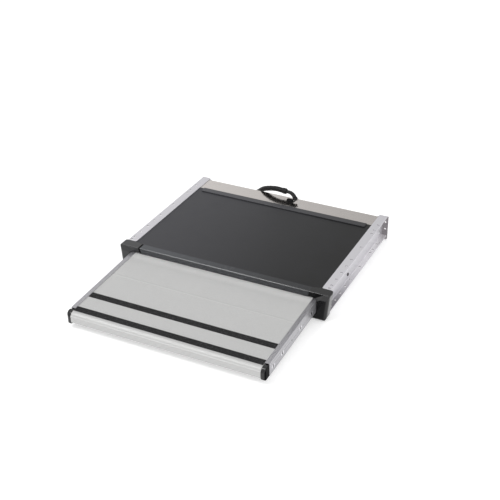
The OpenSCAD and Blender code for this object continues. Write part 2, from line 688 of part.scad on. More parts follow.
spindle_y = [bearing_y[1] + 2, gearbox_y - 3];
module drive_spindle() color("silver") placed() sloped() translate([0, 0, spindle_h]) rotate([-90, 0, 0]) {
    translate([0, 0, spindle_y[0]]) cylinder(d = spindle_d, h = spindle_y[1] - spindle_y[0]);
    translate([0, 0, bearing_y[0] - 2]) cylinder(d = journal_d, h = 6 + bearing_y[1] - bearing_y[0]);
    translate([0, 0, spindle_y[1] - 1]) cylinder(d = journal_d, h = 18);
}

// Involute of a circle: the point that a taut string's end reaches after turning by t degrees
function involute(base_r, t) = base_r * [cos(t) + t * PI / 180 * sin(t), sin(t) - t * PI / 180 * cos(t)];
function turn(p, a) = [p[0] * cos(a) - p[1] * sin(a), p[0] * sin(a) + p[1] * cos(a)];
base_r = pitch_r * cos(pressure);
tip_r = pitch_r + pinion_add;
root_r = pitch_r - pinion_ded;
flank_end = sqrt(pow(tip_r / base_r, 2) - 1) * 180 / PI;
// Half the angle of a tooth at its base circle
half_tooth = 90 / pinion_teeth - backlash / pitch_r * 90 / PI + tan(pressure) * 180 / PI - pressure;
flank_steps = 5;
function flank() = [for (i = [0 : flank_steps])
    turn(involute(base_r, flank_end * i / flank_steps), -half_tooth)];
// A tooth's outline, and a point in the middle of the gap after it
function tooth_points() = let (f = flank())
    concat([turn([root_r, 0], -half_tooth)], f, [for (i = [flank_steps : -1 : 0]) [f[i][0], -f[i][1]]],
        [turn([root_r, 0], half_tooth), turn([root_r, 0], 180 / pinion_teeth)]);

module pinion() linear_extrude(pinion_w) difference() {
    polygon([for (i = [0 : pinion_teeth - 1], p = tooth_points()) turn(p, (i + 0.5) * 360 / pinion_teeth)]);
    circle(d = pinion_bore_d + 0.04);
}
// A tooth gap of the pinion points up at the rack's tooth
module placed_pinion() sloped() translate([pinion_in, sync_y, sync_h]) rotate([90, 0, 90]) rotate(90) pinion();
module sync_pinions() color("silver") placed() {
    placed_pinion();
    mirrored() placed_pinion();
}
module sync_shaft() color("silver") placed() sloped() translate([0, sync_y, sync_h]) rotate([0, 90, 0]) {
    translate([0, 0, -pinion_in + 0.1]) cylinder(d = sync_d, h = 2 * pinion_in - 0.2);
    translate([0, 0, -pinion_in - pinion_w]) cylinder(d = pinion_bore_d, h = 2 * (pinion_in + pinion_w));
}

// STEP

// Outlines of S and H are turned so that S points to the front
module plank(half) sloped() along_x(-half, half) mirror([1, 0]) children();

module rib() polygon([[-rib_base_w / 2, -rib_h - 0.1], [rib_base_w / 2, -rib_h - 0.1],
    [rib_top_w / 2, 0], [-rib_top_w / 2, 0]]);
module ribs(from, to) {
    count = floor((to - from) / rib_pitch);
    spare = (to - from - (count - 1) * rib_pitch) / 2;
    for (i = [0 : count - 1]) translate([from + spare + i * rib_pitch, 0]) rib();
}
module strip_land(s) translate([s - 0.5, -rib_h - 0.1]) square([strip_w + 1, 0.1 + rib_h + strip_seat_h]);
module chamber(from, to) translate([from, -plank_h + plank_wall])
    square([to - from, plank_h - 2 * plank_wall - rib_h]);
module port(s) translate([s, screw_h]) circle(d = port_d);
module port_hole(s) translate([s, screw_h]) circle(d = side_screw_d + 2 * run_gap);
function nose_arc(r) = [for (a = [curve_end : -curve_end / 10 : -0.01])
    [curve_s + r * sin(a), -nose_r + r * cos(a)]];

// Tongue of the rear plank and its groove in the front plank
tongue = [6, -13, -10];
joint_gap = 0.2;
module front_plank_section() {
    webs = concat([joint_s + 9.5], front_screw_s, [nose_s - 19]);
    difference() {
        union() {
            difference() {
                union() {
                    polygon(concat([[joint_s + joint_gap / 2, -plank_h], [nose_s - 2, -plank_h],
                        [nose_s, -plank_h + 2], [nose_s, nose_flat_h + 0.5]], nose_arc(nose_r - rib_h),
                        [[joint_s + joint_gap / 2, -rib_h]]));
                    ribs(joint_s + 1.5, rear_strip_s - 1);
                    ribs(rear_strip_s + strip_w + 1, front_strip_s - 1);
                    for (i = [0 : 4]) translate([curve_s, -nose_r])
                        rotate(-(i + 0.5) * curve_end / 5) translate([0, nose_r]) rib();
                    strip_land(rear_strip_s);
                    strip_land(front_strip_s);
                }
                for (i = [0 : len(webs) - 2]) chamber(webs[i] + plank_wall / 2, webs[i + 1] - plank_wall / 2);
                polygon(concat([[nose_s - 18, -plank_h + plank_wall], [nose_s - 3, -plank_h + plank_wall],
                    [nose_s - plank_wall, -plank_h + 3], [nose_s - plank_wall, nose_flat_h - 1.5]],
                    nose_arc(nose_r - rib_h - plank_wall)));
                translate([joint_s + 2.2, -8]) square([6.3, 8 - rib_h - plank_wall]);
                translate([joint_s + 2.2, -plank_h + plank_wall]) square([6.3, plank_h - plank_wall - 15]);
            }
            for (s = front_screw_s) port(s);
        }
        for (s = front_screw_s) port_hole(s);
        translate([joint_s - 1, tongue[1] - seat_gap])
            square([tongue[0] + 1.5, tongue[2] - tongue[1] + 2 * seat_gap]);
    }
}
module rear_plank_section() {
    webs = concat([tread_back_s + 1], rear_screw_s, [joint_s - 1]);
    difference() {
        union() {
            difference() {
                union() {
                    translate([tread_back_s, -plank_h])
                        square([joint_s - joint_gap / 2 - tread_back_s, plank_h - rib_h]);
                    ribs(tread_back_s + 1, joint_s - 1.5);
                    translate([joint_s - 1, tongue[1]]) square([tongue[0] + 1, tongue[2] - tongue[1]]);
                }
                for (i = [0 : len(webs) - 2]) chamber(webs[i] + plank_wall / 2, webs[i + 1] - plank_wall / 2);
            }
            for (s = rear_screw_s) port(s);
        }
        for (s = rear_screw_s) port_hole(s);
    }
}
module front_tread_plank() color("lightgray") placed() plank(step_in - 0.05) front_plank_section();
module rear_tread_plank() color("lightgray") placed() plank(step_in - 0.05) rear_plank_section();

module grip_strip(s) plank(step_in - 1) translate([s, strip_seat_h]) square([strip_w, strip_t]);
module front_grip_strip() color("#262628") placed() grip_strip(front_strip_s);
module rear_grip_strip() color("#262628") placed() grip_strip(rear_strip_s);

// Step rail: a box section with a web; behind the tread its top is cut lower
rail_skin = 2;
module step_rail() difference() {
    sloped() difference() {
        along_y(-cap_back_s, tail_len) difference() {
            translate([step_in, rail_low_h]) square([step_rail_w, step_rail_h]);
            translate([step_in + rail_skin, -10.5])
                square([step_rail_w - 2 * rail_skin, 10.5 - rail_skin + rail_proud]);
            translate([step_in + rail_skin, rail_low_h + rail_skin])
                square([step_rail_w - 2 * rail_skin, -12.5 - rail_low_h - rail_skin]);
        }
        block([step_in - 1, -tread_back_s + 1, tail_top_h], [step_half + 1, tail_len + 1, 10]);
        for (p = side_screw_points) translate([step_in, -p[0], p[1]]) rotate([0, 90, 0]) {
            translate([0, 0, -1]) cylinder(d = side_screw_d + 2 * run_gap, h = step_rail_w + 2);
            translate([0, 0, step_rail_w - 2]) cylinder(d1 = side_screw_d, d2 = screw_head_d + 0.2, h = 2.001);
        }
        translate([step_in - 1, sync_y, sync_h]) rotate([0, 90, 0])
            cylinder(d = bush_d + 2 * run_gap, h = step_rail_w + 2);
        for (y = [shoe_y[0] + 8, shoe_y[1] - 20]) translate([step_half - rail_skin - 1, y, rivet_h])
            rotate([0, 90, 0]) cylinder(d = peg_d + 2 * run_gap, h = rail_skin + 2);
    }
}
module right_step_rail() color("silver") placed() step_rail();
module left_step_rail() color("silver") placed() mirrored() step_rail();

// Countersunk screws through the step rails into the planks' ports and the tail beam
side_screw_points = concat([for (s = concat(rear_screw_s, front_screw_s)) [s, screw_h]],
    [[beam_screw_s, beam_screw_h]]);
module side_screw() rotate([0, 90, 0]) difference() {
    union() {
        translate([0, 0, -14]) cylinder(d = side_screw_d, h = step_rail_w + 12.1);
        translate([0, 0, step_rail_w - 2]) cylinder(d1 = side_screw_d - 0.2, d2 = screw_head_d, h = 2);
    }
    translate([0, 0, step_rail_w]) cross_recess(4.6, 1.2);
}
module side_screw_set() sloped() for (p = side_screw_points) translate([step_in, -p[0], p[1]]) side_screw();
module side_screws() color("gray") placed() {
    side_screw_set();
    mirrored() side_screw_set();
}

// Nose end cap: follows the nose's outline, with a round outer corner and a plug inside the step rail
module nose_cap_side() difference() {
    polygon(concat([[cap_back_s + 6, rail_proud], [curve_s + 1, rail_proud]],
        [for (a = [10 : 10 : 50]) [curve_s + 1 + 15.5 * sin(a) * 0.98, rail_proud - 16 * (1 - cos(a))]],
        [[nose_cap_s - 1.2, nose_flat_h + 2.2], [nose_cap_s, nose_flat_h], [nose_cap_s, rail_low_h + 8]],
        [for (a = [10 : 16 : 90]) [nose_cap_s - 8 + 8 * cos(a), rail_low_h + 8 - 8 * sin(a)]],
        [[cap_back_s, rail_low_h], [cap_back_s, -6], [cap_back_s + 6, rail_proud]]));
}
module nose_cap_plan() difference() {
    translate([step_in, cap_back_s - 1]) square([step_rail_w, nose_cap_d + 2]);
    translate([step_half - 8, nose_cap_s - 8]) corner_waste(8);
}
module nose_cap() sloped() {
    intersection() {
        along_x(step_in, step_half) mirror([1, 0]) nose_cap_side();
        translate([0, 0, rail_low_h - 1]) linear_extrude(step_rail_h + 2) mirror([0, 1]) nose_cap_plan();
    }
    block([step_in + rail_skin + 0.2, -cap_back_s - 0.1, rail_low_h + rail_skin + 0.3],
        [step_half - rail_skin - 0.2, -cap_back_s + 12, -13]);
}
module right_nose_cap() color("#2b2b2d") placed() nose_cap();
module left_nose_cap() color("#2b2b2d") placed() mirrored() nose_cap();

module tail_beam() color("silver") placed() sloped() along_x(-step_in + 0.05, step_in - 0.05) difference() {
    union() {
        difference() {
            translate([-beam_s[1], beam_low_h]) square([beam_s[1] - beam_s[0], -5 - beam_low_h]);
            translate([-beam_s[1] + 2, beam_low_h + 2]) square([beam_s[1] - beam_s[0] - 4, -9 - beam_low_h]);
        }
        translate([-beam_screw_s, beam_screw_h]) circle(d = port_d);
        translate([-beam_screw_s - 1, beam_low_h + 1]) square([2, -7 - beam_low_h]);
    }
    translate([-beam_screw_s, beam_screw_h]) circle(d = side_screw_d + 2 * run_gap);
}

module spindle_nut() color("#303032") placed() sloped() difference() {
    union() {
        block([-nut_half, -beam_s[1], spindle_h - nut_drop], [nut_half, -beam_s[0], beam_low_h]);
        translate([0, -beam_s[1] - 3, spindle_h]) rotate([-90, 0, 0]) cylinder(d = spindle_d + 3, h = 6);
    }
    translate([0, -beam_s[1] - 5, spindle_h]) rotate([-90, 0, 0]) cylinder(d = spindle_d + 2 * run_gap, h = 40);
    for (side = [-1, 1]) translate([side * nut_half, -beam_s[1] - 1, spindle_h - nut_drop])
        rotate([-90, 0, 0]) cylinder(r = 4, h = 30);
}

module slide_shoe() sloped() {
    block([step_half, shoe_y[0], shoe_room[0] + slide_gap],
        [track_in - slide_gap, shoe_y[1], shoe_room[1] - slide_gap]);
    for (y = [shoe_y[0] + 8, shoe_y[1] - 20]) translate([step_half - rail_skin, y, rivet_h])
        rotate([0, 90, 0]) cylinder(d = peg_d, h = rail_skin + 1);
}
module slide_shoes() color("white") placed() {
    slide_shoe();
    mirrored() slide_shoe();
}

module shaft_bush() sloped() translate([step_in, sync_y, sync_h]) rotate([0, 90, 0]) difference() {
    union() {
        cylinder(d = bush_d, h = step_rail_w);
        translate([0, 0, -1.5]) cylinder(d = bush_d + 4, h = 1.5);
    }
    translate([0, 0, -3]) cylinder(d = sync_d + 2 * run_gap, h = step_rail_w + 6);
}
module shaft_bushes() color("peru") placed() {
    shaft_bush();
    mirrored() shaft_bush();
}

// CABLE

gland_d = 16;
module cable_gland() color("#303032") placed()
    translate([gland_pos[0], panel_y, gland_pos[1]]) rotate([-90, 0, 0]) {
    translate([0, 0, -5]) cylinder(d = gland_d, h = 12);
    translate([0, 0, -5]) cylinder(d = 22, h = 4.9, $fn = 6);
    translate([0, 0, pan_t + 0.1]) cylinder(d = 24, h = 4, $fn = 6);
    translate([0, 0, pan_t + 4]) cylinder(d1 = 21, d2 = 17, h = gland_end_y - panel_y - pan_t - 4);
}

// A point of the smooth curve through p1 and p2
function curve_point(p0, p1, p2, p3, t) = 0.5 * (2 * p1 + (p2 - p0) * t
    + (2 * p0 - 5 * p1 + 4 * p2 - p3) * t * t
    + (3 * p1 - p0 - 3 * p2 + p3) * t * t * t);
function smooth_route(p, steps) = let (n = len(p) - 1)
    concat([for (i = [0 : n - 1], k = [0 : steps - 1]) curve_point(
        i == 0 ? 2 * p[0] - p[1] : p[i - 1], p[i], p[i + 1],
        i == n - 1 ? 2 * p[n] - p[n - 1] : p[i + 2], k / steps)], [p[n]]);
function heading(p, i) = unit(p[min(i + 1, len(p) - 1)] - p[max(i - 1, 0)]);
// Side directions carried along the route without twist
function carry(p, i, side) = i == len(p) ? [] :
    let (h = heading(p, i), s = unit(side - (side * h) * h)) concat([s], carry(p, i + 1, s));

// A tube of n sides along a route of points
module tube(p, r, n, first_side) {
    sides = carry(p, 0, first_side);
    points = [for (i = [0 : len(p) - 1], k = [0 : n - 1])
        p[i] + r * (cos(360 * k / n) * sides[i] + sin(360 * k / n) * cross(heading(p, i), sides[i]))];
    last = (len(p) - 1) * n;
    polyhedron(points, concat(
        [[for (k = [0 : n - 1]) k]],
        [for (i = [0 : len(p) - 2], k = [0 : n - 1])
            [i * n + k, (i + 1) * n + k, (i + 1) * n + (k + 1) % n, i * n + (k + 1) % n]],
        [[for (k = [n - 1 : -1 : 0]) last + k]]));
}
module cable_sleeve() color("#202022") placed()
    tube(smooth_route(along(sleeve_from_back, lid_back), 2), sleeve_d / 2, 10, [0, 0, 1]);

tape_start = along(sleeve_from_back, lid_back)[len(sleeve_from_back) - 1];
module sleeve_tape() color("black") placed() translate(tape_start)
    rotate([0, acos(unit(tape_axis)[2]), atan2(tape_axis[1], tape_axis[0])]) cylinder(d = tape_d, h = tape_len);

wire_across = unit(cross([0, 0, 1], tape_axis));
module cable_wires() color("black") placed() for (i = [-1 : 1])
    tube([for (p = smooth_route(along(wire_from_back, lid_back), 2)) p + i * wire_spread * wire_across],
        wire_d / 2, 8, [0, 0, 1]);

module wire_connector() color("black") placed() translate([0, lid_back - 36, cover_top])
    difference() {
        cube(connector_size);
        for (i = [-1 : 1]) translate([-1, connector_size[1] / 2 + i * 4 - 1.2, 3]) cube([7, 2.4, 3]);
        translate([4, -1, connector_size[2] - 1]) cube([3, connector_size[1] + 2, 2]);
    }

left_side_rail();
right_side_rail();
top_cover();
cover_rear_trim();
rear_plate();
rear_panel();
base_pan();
front_profile();
lower_front_bar();
left_end_cap();
right_end_cap();
left_rear_bracket();
right_rear_bracket();
left_guide_track();
right_guide_track();
left_rack();
right_rack();
wiper_seal();
mouth_glides();
front_stops();
rear_stops();
drive_motor();
gearbox();
motor_bracket();
spindle_bearing();
track_rivets();
bracket_rivets();
web_screws();
pan_screws();
cable_gland();
cable_sleeve();
sleeve_tape();
cable_wires();
wire_connector();
front_tread_plank();
rear_tread_plank();
front_grip_strip();
rear_grip_strip();
left_step_rail();
right_step_rail();
left_nose_cap();
right_nose_cap();
side_screws();
tail_beam();
spindle_nut();
slide_shoes();
shaft_bushes();
sync_shaft();
sync_pinions();
drive_spindle();
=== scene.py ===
import math

import bmesh
import bpy
from bpy.props import FloatProperty, FloatVectorProperty, PointerProperty
from mathutils import Matrix, Vector


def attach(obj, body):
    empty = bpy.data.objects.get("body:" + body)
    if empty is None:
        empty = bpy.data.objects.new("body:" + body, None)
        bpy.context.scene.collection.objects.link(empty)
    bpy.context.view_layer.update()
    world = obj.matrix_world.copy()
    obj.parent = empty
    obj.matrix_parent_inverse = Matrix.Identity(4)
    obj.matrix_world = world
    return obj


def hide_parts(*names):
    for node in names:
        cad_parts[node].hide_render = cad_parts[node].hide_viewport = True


bl_info = {
    "name": "Caravan pull out step",
    "version": (1, 0, 0),
    "blender": (4, 5, 0),
    "location": "3D View > Sidebar > Step",
    "description": "Finishes, cable and setting of a pull out step for caravans",
    "category": "Object",
}

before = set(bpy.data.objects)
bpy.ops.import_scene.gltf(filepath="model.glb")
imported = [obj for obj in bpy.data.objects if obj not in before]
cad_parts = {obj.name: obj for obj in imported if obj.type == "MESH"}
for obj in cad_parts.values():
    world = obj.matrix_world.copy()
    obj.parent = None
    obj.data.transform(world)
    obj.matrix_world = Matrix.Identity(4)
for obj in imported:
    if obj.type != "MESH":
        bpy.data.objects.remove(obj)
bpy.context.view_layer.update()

# Millimetres in a metre. Lengths are in metres unless a name or a comment says millimetres
MM = 1000.0
# The cassette's front face and top in the part's frame
FRONT_Y = -0.0790194
TOP_Z = 0.076
# The lid's back edge, from the front face
LID_BACK = 0.459
# The slide's slope, and the tread's depth below the top at the front face
SLOPE = math.radians(2.0)
TREAD_DROP = 0.0186
# Down the slope from the front face: the joint between the planks, and the screws in the step's sides
# that get painted bright crescents and a painted shade for a recess. SCREW_H is their height above the tread
JOINT_S = 0.1115
SCREW_S = (0.035, 0.104, 0.213, 0.266)
SCREW_H = -0.019
# The front profile's face: its height, and how far its foot lies behind its top. The seam at its left
# end: its place, how far it leans to the side over that height, and the two sides from there of the black
# strip that paints the seam's shadow
FRONT_H = 0.0176
FACE_LEAN = 0.002
SEAM_X = 0.251
SEAM_LEAN = 0.003
SEAM_SIDES = (-0.0004, 0.0042)
# The camera: focal length and picture width in pixels, sensor width in millimetres, place from the
# front face and the top, and the direction from which it looks
FOCAL_PX = 990.924
PICTURE_PX = 500.0
SENSOR_MM = 36.0
CAMERA_PLACE = (1.0344815, -1.9638953, 1.3446474)
CAMERA_BACK = (0.37618951, -0.7787624, 0.50200655)
# The floor lies just under the part
FLOOR_HALF = 9.0
FLOOR_Z = -0.0004


# SHADER MATHS

class Value:
    """An output of a node. Arithmetic on it adds Math nodes, or Vector Math nodes where it is a vector."""

    def __init__(self, tree, socket):
        self.tree = tree
        self.socket = socket

    def node(self, kind, settings=None, sockets=None, output=0):
        """Adds a node: first its settings, then the values or links of its sockets."""
        made = self.tree.nodes.new(kind)
        for key, value in (settings or {}).items():
            setattr(made, key, value)
        for key, value in (sockets or {}).items():
            target = made.inputs[key]
            if isinstance(value, Value):
                self.tree.links.new(value.socket, target)
            else:
                target.default_value = value
        return Value(self.tree, made.outputs[output])

    def _sum(self, operation, first, second=None):
        if self.socket.type == "VECTOR":
            return self.node("ShaderNodeVectorMath", {"operation": operation}, {0: first, 1: second})
        sockets = {0: first} if second is None else {0: first, 1: second}
        return self.node("ShaderNodeMath", {"operation": operation}, sockets)

    def __add__(self, other):
        return self._sum("ADD", self, other)

    def __radd__(self, other):
        return self._sum("ADD", other, self)

    def __sub__(self, other):
        return self._sum("SUBTRACT", self, other)

    def __rsub__(self, other):
        return self._sum("SUBTRACT", other, self)

    def __mul__(self, other):
        return self._sum("MULTIPLY", self, other)

    def __rmul__(self, other):
        return self._sum("MULTIPLY", other, self)

    def __truediv__(self, other):
        return self._sum("DIVIDE", self, other)

    def __pow__(self, other):
        return self._sum("POWER", self, other)

    def __abs__(self):
        return self._sum("ABSOLUTE", self)

    def least(self, other):
        return self._sum("MINIMUM", self, other)

    def most(self, other):
        return self._sum("MAXIMUM", self, other)

    def step(self, low, high):
        """Smooth from 0 at low to 1 at high, whichever of them is larger."""
        return self.node("ShaderNodeMapRange", {"interpolation_type": "SMOOTHSTEP"},
                         {"Value": self, "From Min": low, "From Max": high})

    def between(self, first, second):
        """A colour mixed from first to second by this factor."""
        first, second = [(*c, 1.0) if isinstance(c, tuple) else c for c in (first, second)]
        return self.node("ShaderNodeMix", {"data_type": "RGBA"}, {0: self, 6: first, 7: second}, 2)

    def noise(self, scale, detail=2.0, stretch=(1.0, 1.0, 1.0)):
        """Noise from 0 to 1 about the middle 0.5, over coordinates in millimetres."""
        place = self.node("ShaderNodeVectorMath", {"operation": "MULTIPLY"}, {0: self, 1: stretch})
        return self.node("ShaderNodeTexNoise", {}, {"Vector": place, "Scale": scale, "Detail": detail})

    def cells(self, scale):
        """The distance to the nearest of many scattered points, and a random grey for each of them."""
        distance = self.node("ShaderNodeTexVoronoi", {}, {"Vector": self, "Scale": scale})
        colour = Value(self.tree, distance.socket.node.outputs["Color"])
        return distance, self.node("ShaderNodeRGBToBW", {}, {0: colour})

    def parts(self):
        """The three parts of a vector."""
        made = self.tree.nodes.new("ShaderNodeSeparateXYZ")
        self.tree.links.new(self.socket, made.inputs[0])
        return [Value(self.tree, out) for out in made.outputs]


def make_material(name, recipe, **fixed):
    """A Principled material. recipe gets coordinates in millimetres and returns what varies over the
    surface, with a relief as a height and its depth in millimetres."""
    material = bpy.data.materials.new(name)
    material.use_nodes = True
    tree = material.node_tree
    shader = tree.nodes["Principled BSDF"]
    for key, value in fixed.items():
        shader.inputs[key.replace("_", " ")].default_value = value
    place = Value(tree, tree.nodes.new("ShaderNodeTexCoord").outputs["Object"])
    varying = recipe(place.node("ShaderNodeVectorMath", {"operation": "MULTIPLY"},
                                {0: place, 1: (MM, MM, MM)}))
    height, depth_mm = varying.pop("relief")
    bump = height.node("ShaderNodeBump", {},
                       {"Height": height, "Distance": depth_mm / MM, "Strength": 1.0})
    tree.links.new(bump.socket, shader.inputs["Normal"])
    for key, value in varying.items():
        tree.links.new(value.socket, shader.inputs[key])
    return material


def shade(colour, factor):
    return tuple(min(1.0, c * factor) for c in colour)


# FINISHES

def facings(mm):
    """The three parts of the surface's direction."""
    return mm.node("ShaderNodeTexCoord", {}, {}, 1).parts()


def chamfer(mm):
    """Chamfers and round edges between the front and the top."""
    _, front, top = facings(mm)
    return front.step(-0.3, -0.5) * top.step(0.3, 0.5)


def anodised(name, colour, along, roughness=0.3, streak=0.05, metal=1.0, painted_tints=()):
    """Anodised aluminium extrusion with fine die lines along one axis, and painted shade on the walls of its
    holes.
    A painted tint is a mask, made from the coordinates and from what faces up, and the brightness of the
    painted light or shade that it brings."""
    stretch = [1.0, 1.0, 1.0]
    stretch[along] = 0.004

    def recipe(mm):
        lines = mm.noise(1.6, 3.0, tuple(stretch))
        broad = mm.noise(0.012, 2.0)
        haze = mm.noise(0.35, 4.0)
        tone = lines * 0.6 + broad * 0.25 + haze * 0.15
        skin = tone.step(0.3, 0.7).between(shade(colour, 1.0 - streak), shade(colour, 1.0 + streak))
        directions = facings(mm)
        # Each painted tint lays painted light or shade over the skin
        for mask, brightness in painted_tints:
            skin = mask(mm, directions[2].step(0.7, 0.95)).between(skin, shade(colour, brightness))
        # Painted shade on the walls of punched holes, the only faces that lie aslant to the extrusion
        aslant = abs(directions[along])
        punched = aslant.step(0.08, 0.2) * (1.0 - aslant.step(0.9, 0.98))
        return {
            "Base Color": punched.between(skin, shade(colour, 0.25)),
            "Roughness": roughness + (lines - 0.5) * 0.14 + (haze - 0.5) * 0.1,
            "relief": (lines, 0.004),
        }
    return make_material(name, recipe, Metallic=metal)


def powder_coat(name, colour, roughness=0.42, grain=0.05, fade=0.0, sheen=0.5, gloss=None):
    """Powder coating with a fine orange-peel skin and a little dust, and painted light that may make it paler
    towards the left and darker towards the right.
    gloss says where it has a glossy coat."""
    def recipe(mm):
        peel = mm.noise(0.9, 3.0)
        fine = mm.noise(5.0, 2.0)
        dust = mm.noise(0.018, 5.0).step(0.42, 0.72)
        left = mm.parts()[0].step(320.0, -320.0)
        # The painted light is full on faces that look up, and a little on others
        left = 0.5 + (left - 0.5) * (0.2 + facings(mm)[2].step(0.3, 0.9) * 0.8)
        # fade sets how strong the painted light is, from paler at the left to darker at the right
        painted_light_skin = left.between(shade(colour, 1.0 - fade), shade(colour, 1.0 + fade))
        varying = {
            "Base Color": (dust * 0.12).between(painted_light_skin, shade(colour, 1.8)),
            "Roughness": roughness + (fine - 0.5) * 0.2 + dust * 0.05,
            "relief": (peel * 0.7 + fine * 0.3, grain),
        }
        if gloss:
            varying["Coat Weight"] = gloss(mm)
        return varying
    return make_material(name, recipe, Metallic=0.0, Coat_Roughness=0.16, Specular_IOR_Level=sheen)


def polished_steel(name, colour):
    """Rolled stainless steel: bright, faintly wavy, with fine grinding lines across the width."""
    def recipe(mm):
        lines = mm.noise(1.2, 3.0, (0.01, 1.0, 1.0))
        wave = mm.noise(0.02, 1.0)
        smear = mm.noise(0.05, 4.0).step(0.5, 0.8)
        return {
            "Base Color": smear.between(colour, shade(colour, 0.94)),
            "Roughness": 0.14 + (lines - 0.5) * 0.06 + smear * 0.05,
            "relief": (wave * 6.0 + lines * 0.02, 0.02),
        }
    return make_material(name, recipe, Metallic=1.0)


def moulded(name, colour, roughness=0.3, texture=0.03, sheen=0.35, gloss=None):
    """Injection-moulded plastic with a spark-eroded skin. gloss says where it has a glossy coat."""
    def recipe(mm):
        skin = mm.noise(3.5, 2.0)
        flow = mm.noise(0.03, 3.0)
        scuff = mm.noise(0.25, 5.0).step(0.62, 0.8)
        varying = {
            "Base Color": scuff.between(colour, tuple(c + 0.003 for c in colour)),
            "Roughness": roughness + (skin - 0.5) * 0.16 + (flow - 0.5) * 0.1 + scuff * 0.08,
            "relief": (skin, texture),
        }
        if gloss:
            varying["Coat Weight"] = gloss(mm)
        return varying
    return make_material(name, recipe, Coat_Roughness=0.14, Specular_IOR_Level=sheen)


def machined(name, colour, roughness=0.28):
    """Turned or milled metal."""
    def recipe(mm):
        lines = mm.noise(4.0, 2.0, (0.15, 1.0, 1.0))
        stain = mm.noise(0.06, 4.0).step(0.45, 0.75)
        return {
            "Base Color": stain.between(colour, shade(colour, 0.86)),
            "Roughness": roughness + (lines - 0.5) * 0.2 + stain * 0.08,
            "relief": (lines, 0.01),
        }
    return make_material(name, recipe, Metallic=1.0)


def zinc_coat(name, colour):
    """Hot-dip galvanised sheet with soft spangle."""
    def recipe(mm):
        _, grey = mm.cells(0.09)
        haze = mm.noise(0.4, 4.0)
        return {
            "Base Color": grey.between(shade(colour, 0.8), shade(colour, 1.15)),
            "Roughness": 0.38 + grey * 0.14 + (haze - 0.5) * 0.12,
            "relief": (haze, 0.02),
        }
    return make_material(name, recipe, Metallic=0.85)


def from_mouth(mm):
    """How far a point is above the tread in the mouth and behind the front face, in millimetres."""
    _, y, z = mm.parts()
    return z - (TOP_Z - TREAD_DROP) * MM, y - FRONT_Y * MM


def slope_height(mm):
    """Height above the sloping plane of the tread, in millimetres."""
    above, behind = from_mouth(mm)
    return above * math.cos(SLOPE) - behind * math.sin(SLOPE)


def ribbed_tread(name, colour):
    """Anodised tread: rib tops with wear, rougher grooves with painted shade, die lines along the ribs, and
    painted light in the mouth.
    """
    def recipe(mm):
        lines = mm.noise(2.2, 3.0, (0.004, 1.0, 1.0))
        broad = mm.noise(0.01, 3.0)
        # Painted shade in the grooves between the ribs and on all below the rib tops, less of it along the
        # joint between the planks
        top = slope_height(mm).step(-0.62, -0.12)
        joint = abs(mm.parts()[1] + (JOINT_S - FRONT_Y) * MM * math.cos(SLOPE)).step(2.8, 1.9)
        scuff = mm.noise(0.35, 5.0, (0.15, 1.0, 1.0)).step(0.5, 0.8)
        base = top.most(joint * 0.6).between(shade(colour, 0.62), shade(colour, 1.0))
        wear_and_groove_shade = (scuff * top).between(base, shade(colour, 1.06))
        # The nose is darker than the rib tops, though less so than the grooves' painted shade; painted light
        # makes the tread brightest in the mouth, against the shade under the front profile
        nose = mm.parts()[1].step(-366.0, -372.0)
        mouth = mm.parts()[1].step(-112.0, -84.0)
        return {
            "Base Color": mouth.between(nose.between(wear_and_groove_shade, shade(colour, 0.76)), shade(colour, 1.14)),
            "Roughness": 0.52 - top * 0.12 + (lines - 0.5) * 0.14 + (broad - 0.5) * 0.08,
            "relief": (lines, 0.012),
        }
    return make_material(name, recipe, Metallic=0.7)


def grit(name, colour):
    """Anti-slip tape: mineral grains in a black binder, some of them smoother and painted lighter as a
    painted glint.
    """
    def recipe(mm):
        grain, shine = mm.cells(1.1)
        fine = mm.noise(2.4, 3.0)
        peaks = 1.0 - grain * 1.3
        # A painted glint: some grains get a colour nine times lighter, with a smoother surface
        painted_glint = shine.step(0.78, 0.86)
        return {
            "Base Color": painted_glint.between(colour, shade(colour, 9.0)),
            "Roughness": 0.85 - painted_glint * 0.5,
            "relief": (peaks * 0.7 + fine * 0.3, 0.55),
        }
    return make_material(name, recipe, Specular_IOR_Level=0.35)


def nearest_screw(mm):
    """How far the nearest screw of SCREW_S is along the rail and across it, in millimetres."""
    above, behind = from_mouth(mm)
    forward = above * -math.sin(SLOPE) - behind * math.cos(SLOPE)
    along = abs(forward - SCREW_S[0] * MM)
    for place in SCREW_S[1:]:
        along = along.least(abs(forward - place * MM))
    return along, abs(slope_height(mm) - SCREW_H * MM)


def screw_heads(name, colour):
    """Countersunk screws in the step's sides: painted highlights as bright crescents beside a painted shade
    for a dark recess.
    """
    def recipe(mm):
        along, across = nearest_screw(mm)
        # Painted shade for the countersink's dark recess, and a painted highlight for the bright crescent
        # beside it
        dark = ((along / 2.9) ** 2.0 + (across / 4.8) ** 2.0).step(1.15, 0.85)
        bright = (along - across * 0.6).step(-0.3, 0.5)
        # A screw away from the listed ones stays plain
        plain = along.step(7.0, 9.0)
        stain = mm.noise(0.5, 3.0)
        head = dark.between(bright.between(shade(colour, 0.4), colour), shade(colour, 0.03))
        return {
            "Base Color": plain.between(head, shade(colour, 0.45)),
            "Roughness": 0.24 + (stain - 0.5) * 0.1,
            "relief": (stain, 0.01),
        }
    return make_material(name, recipe, Metallic=1.0)


def painted_screw_highlight(mm):
    """Painted highlights on the rail round the screws: the countersinks' bright crescents."""
    along, across = nearest_screw(mm)
    return ((along ** 2.0 + across ** 2.0) ** 0.5).step(7.4, 6.4) * (along - across * 0.8).step(0.0, 1.0)


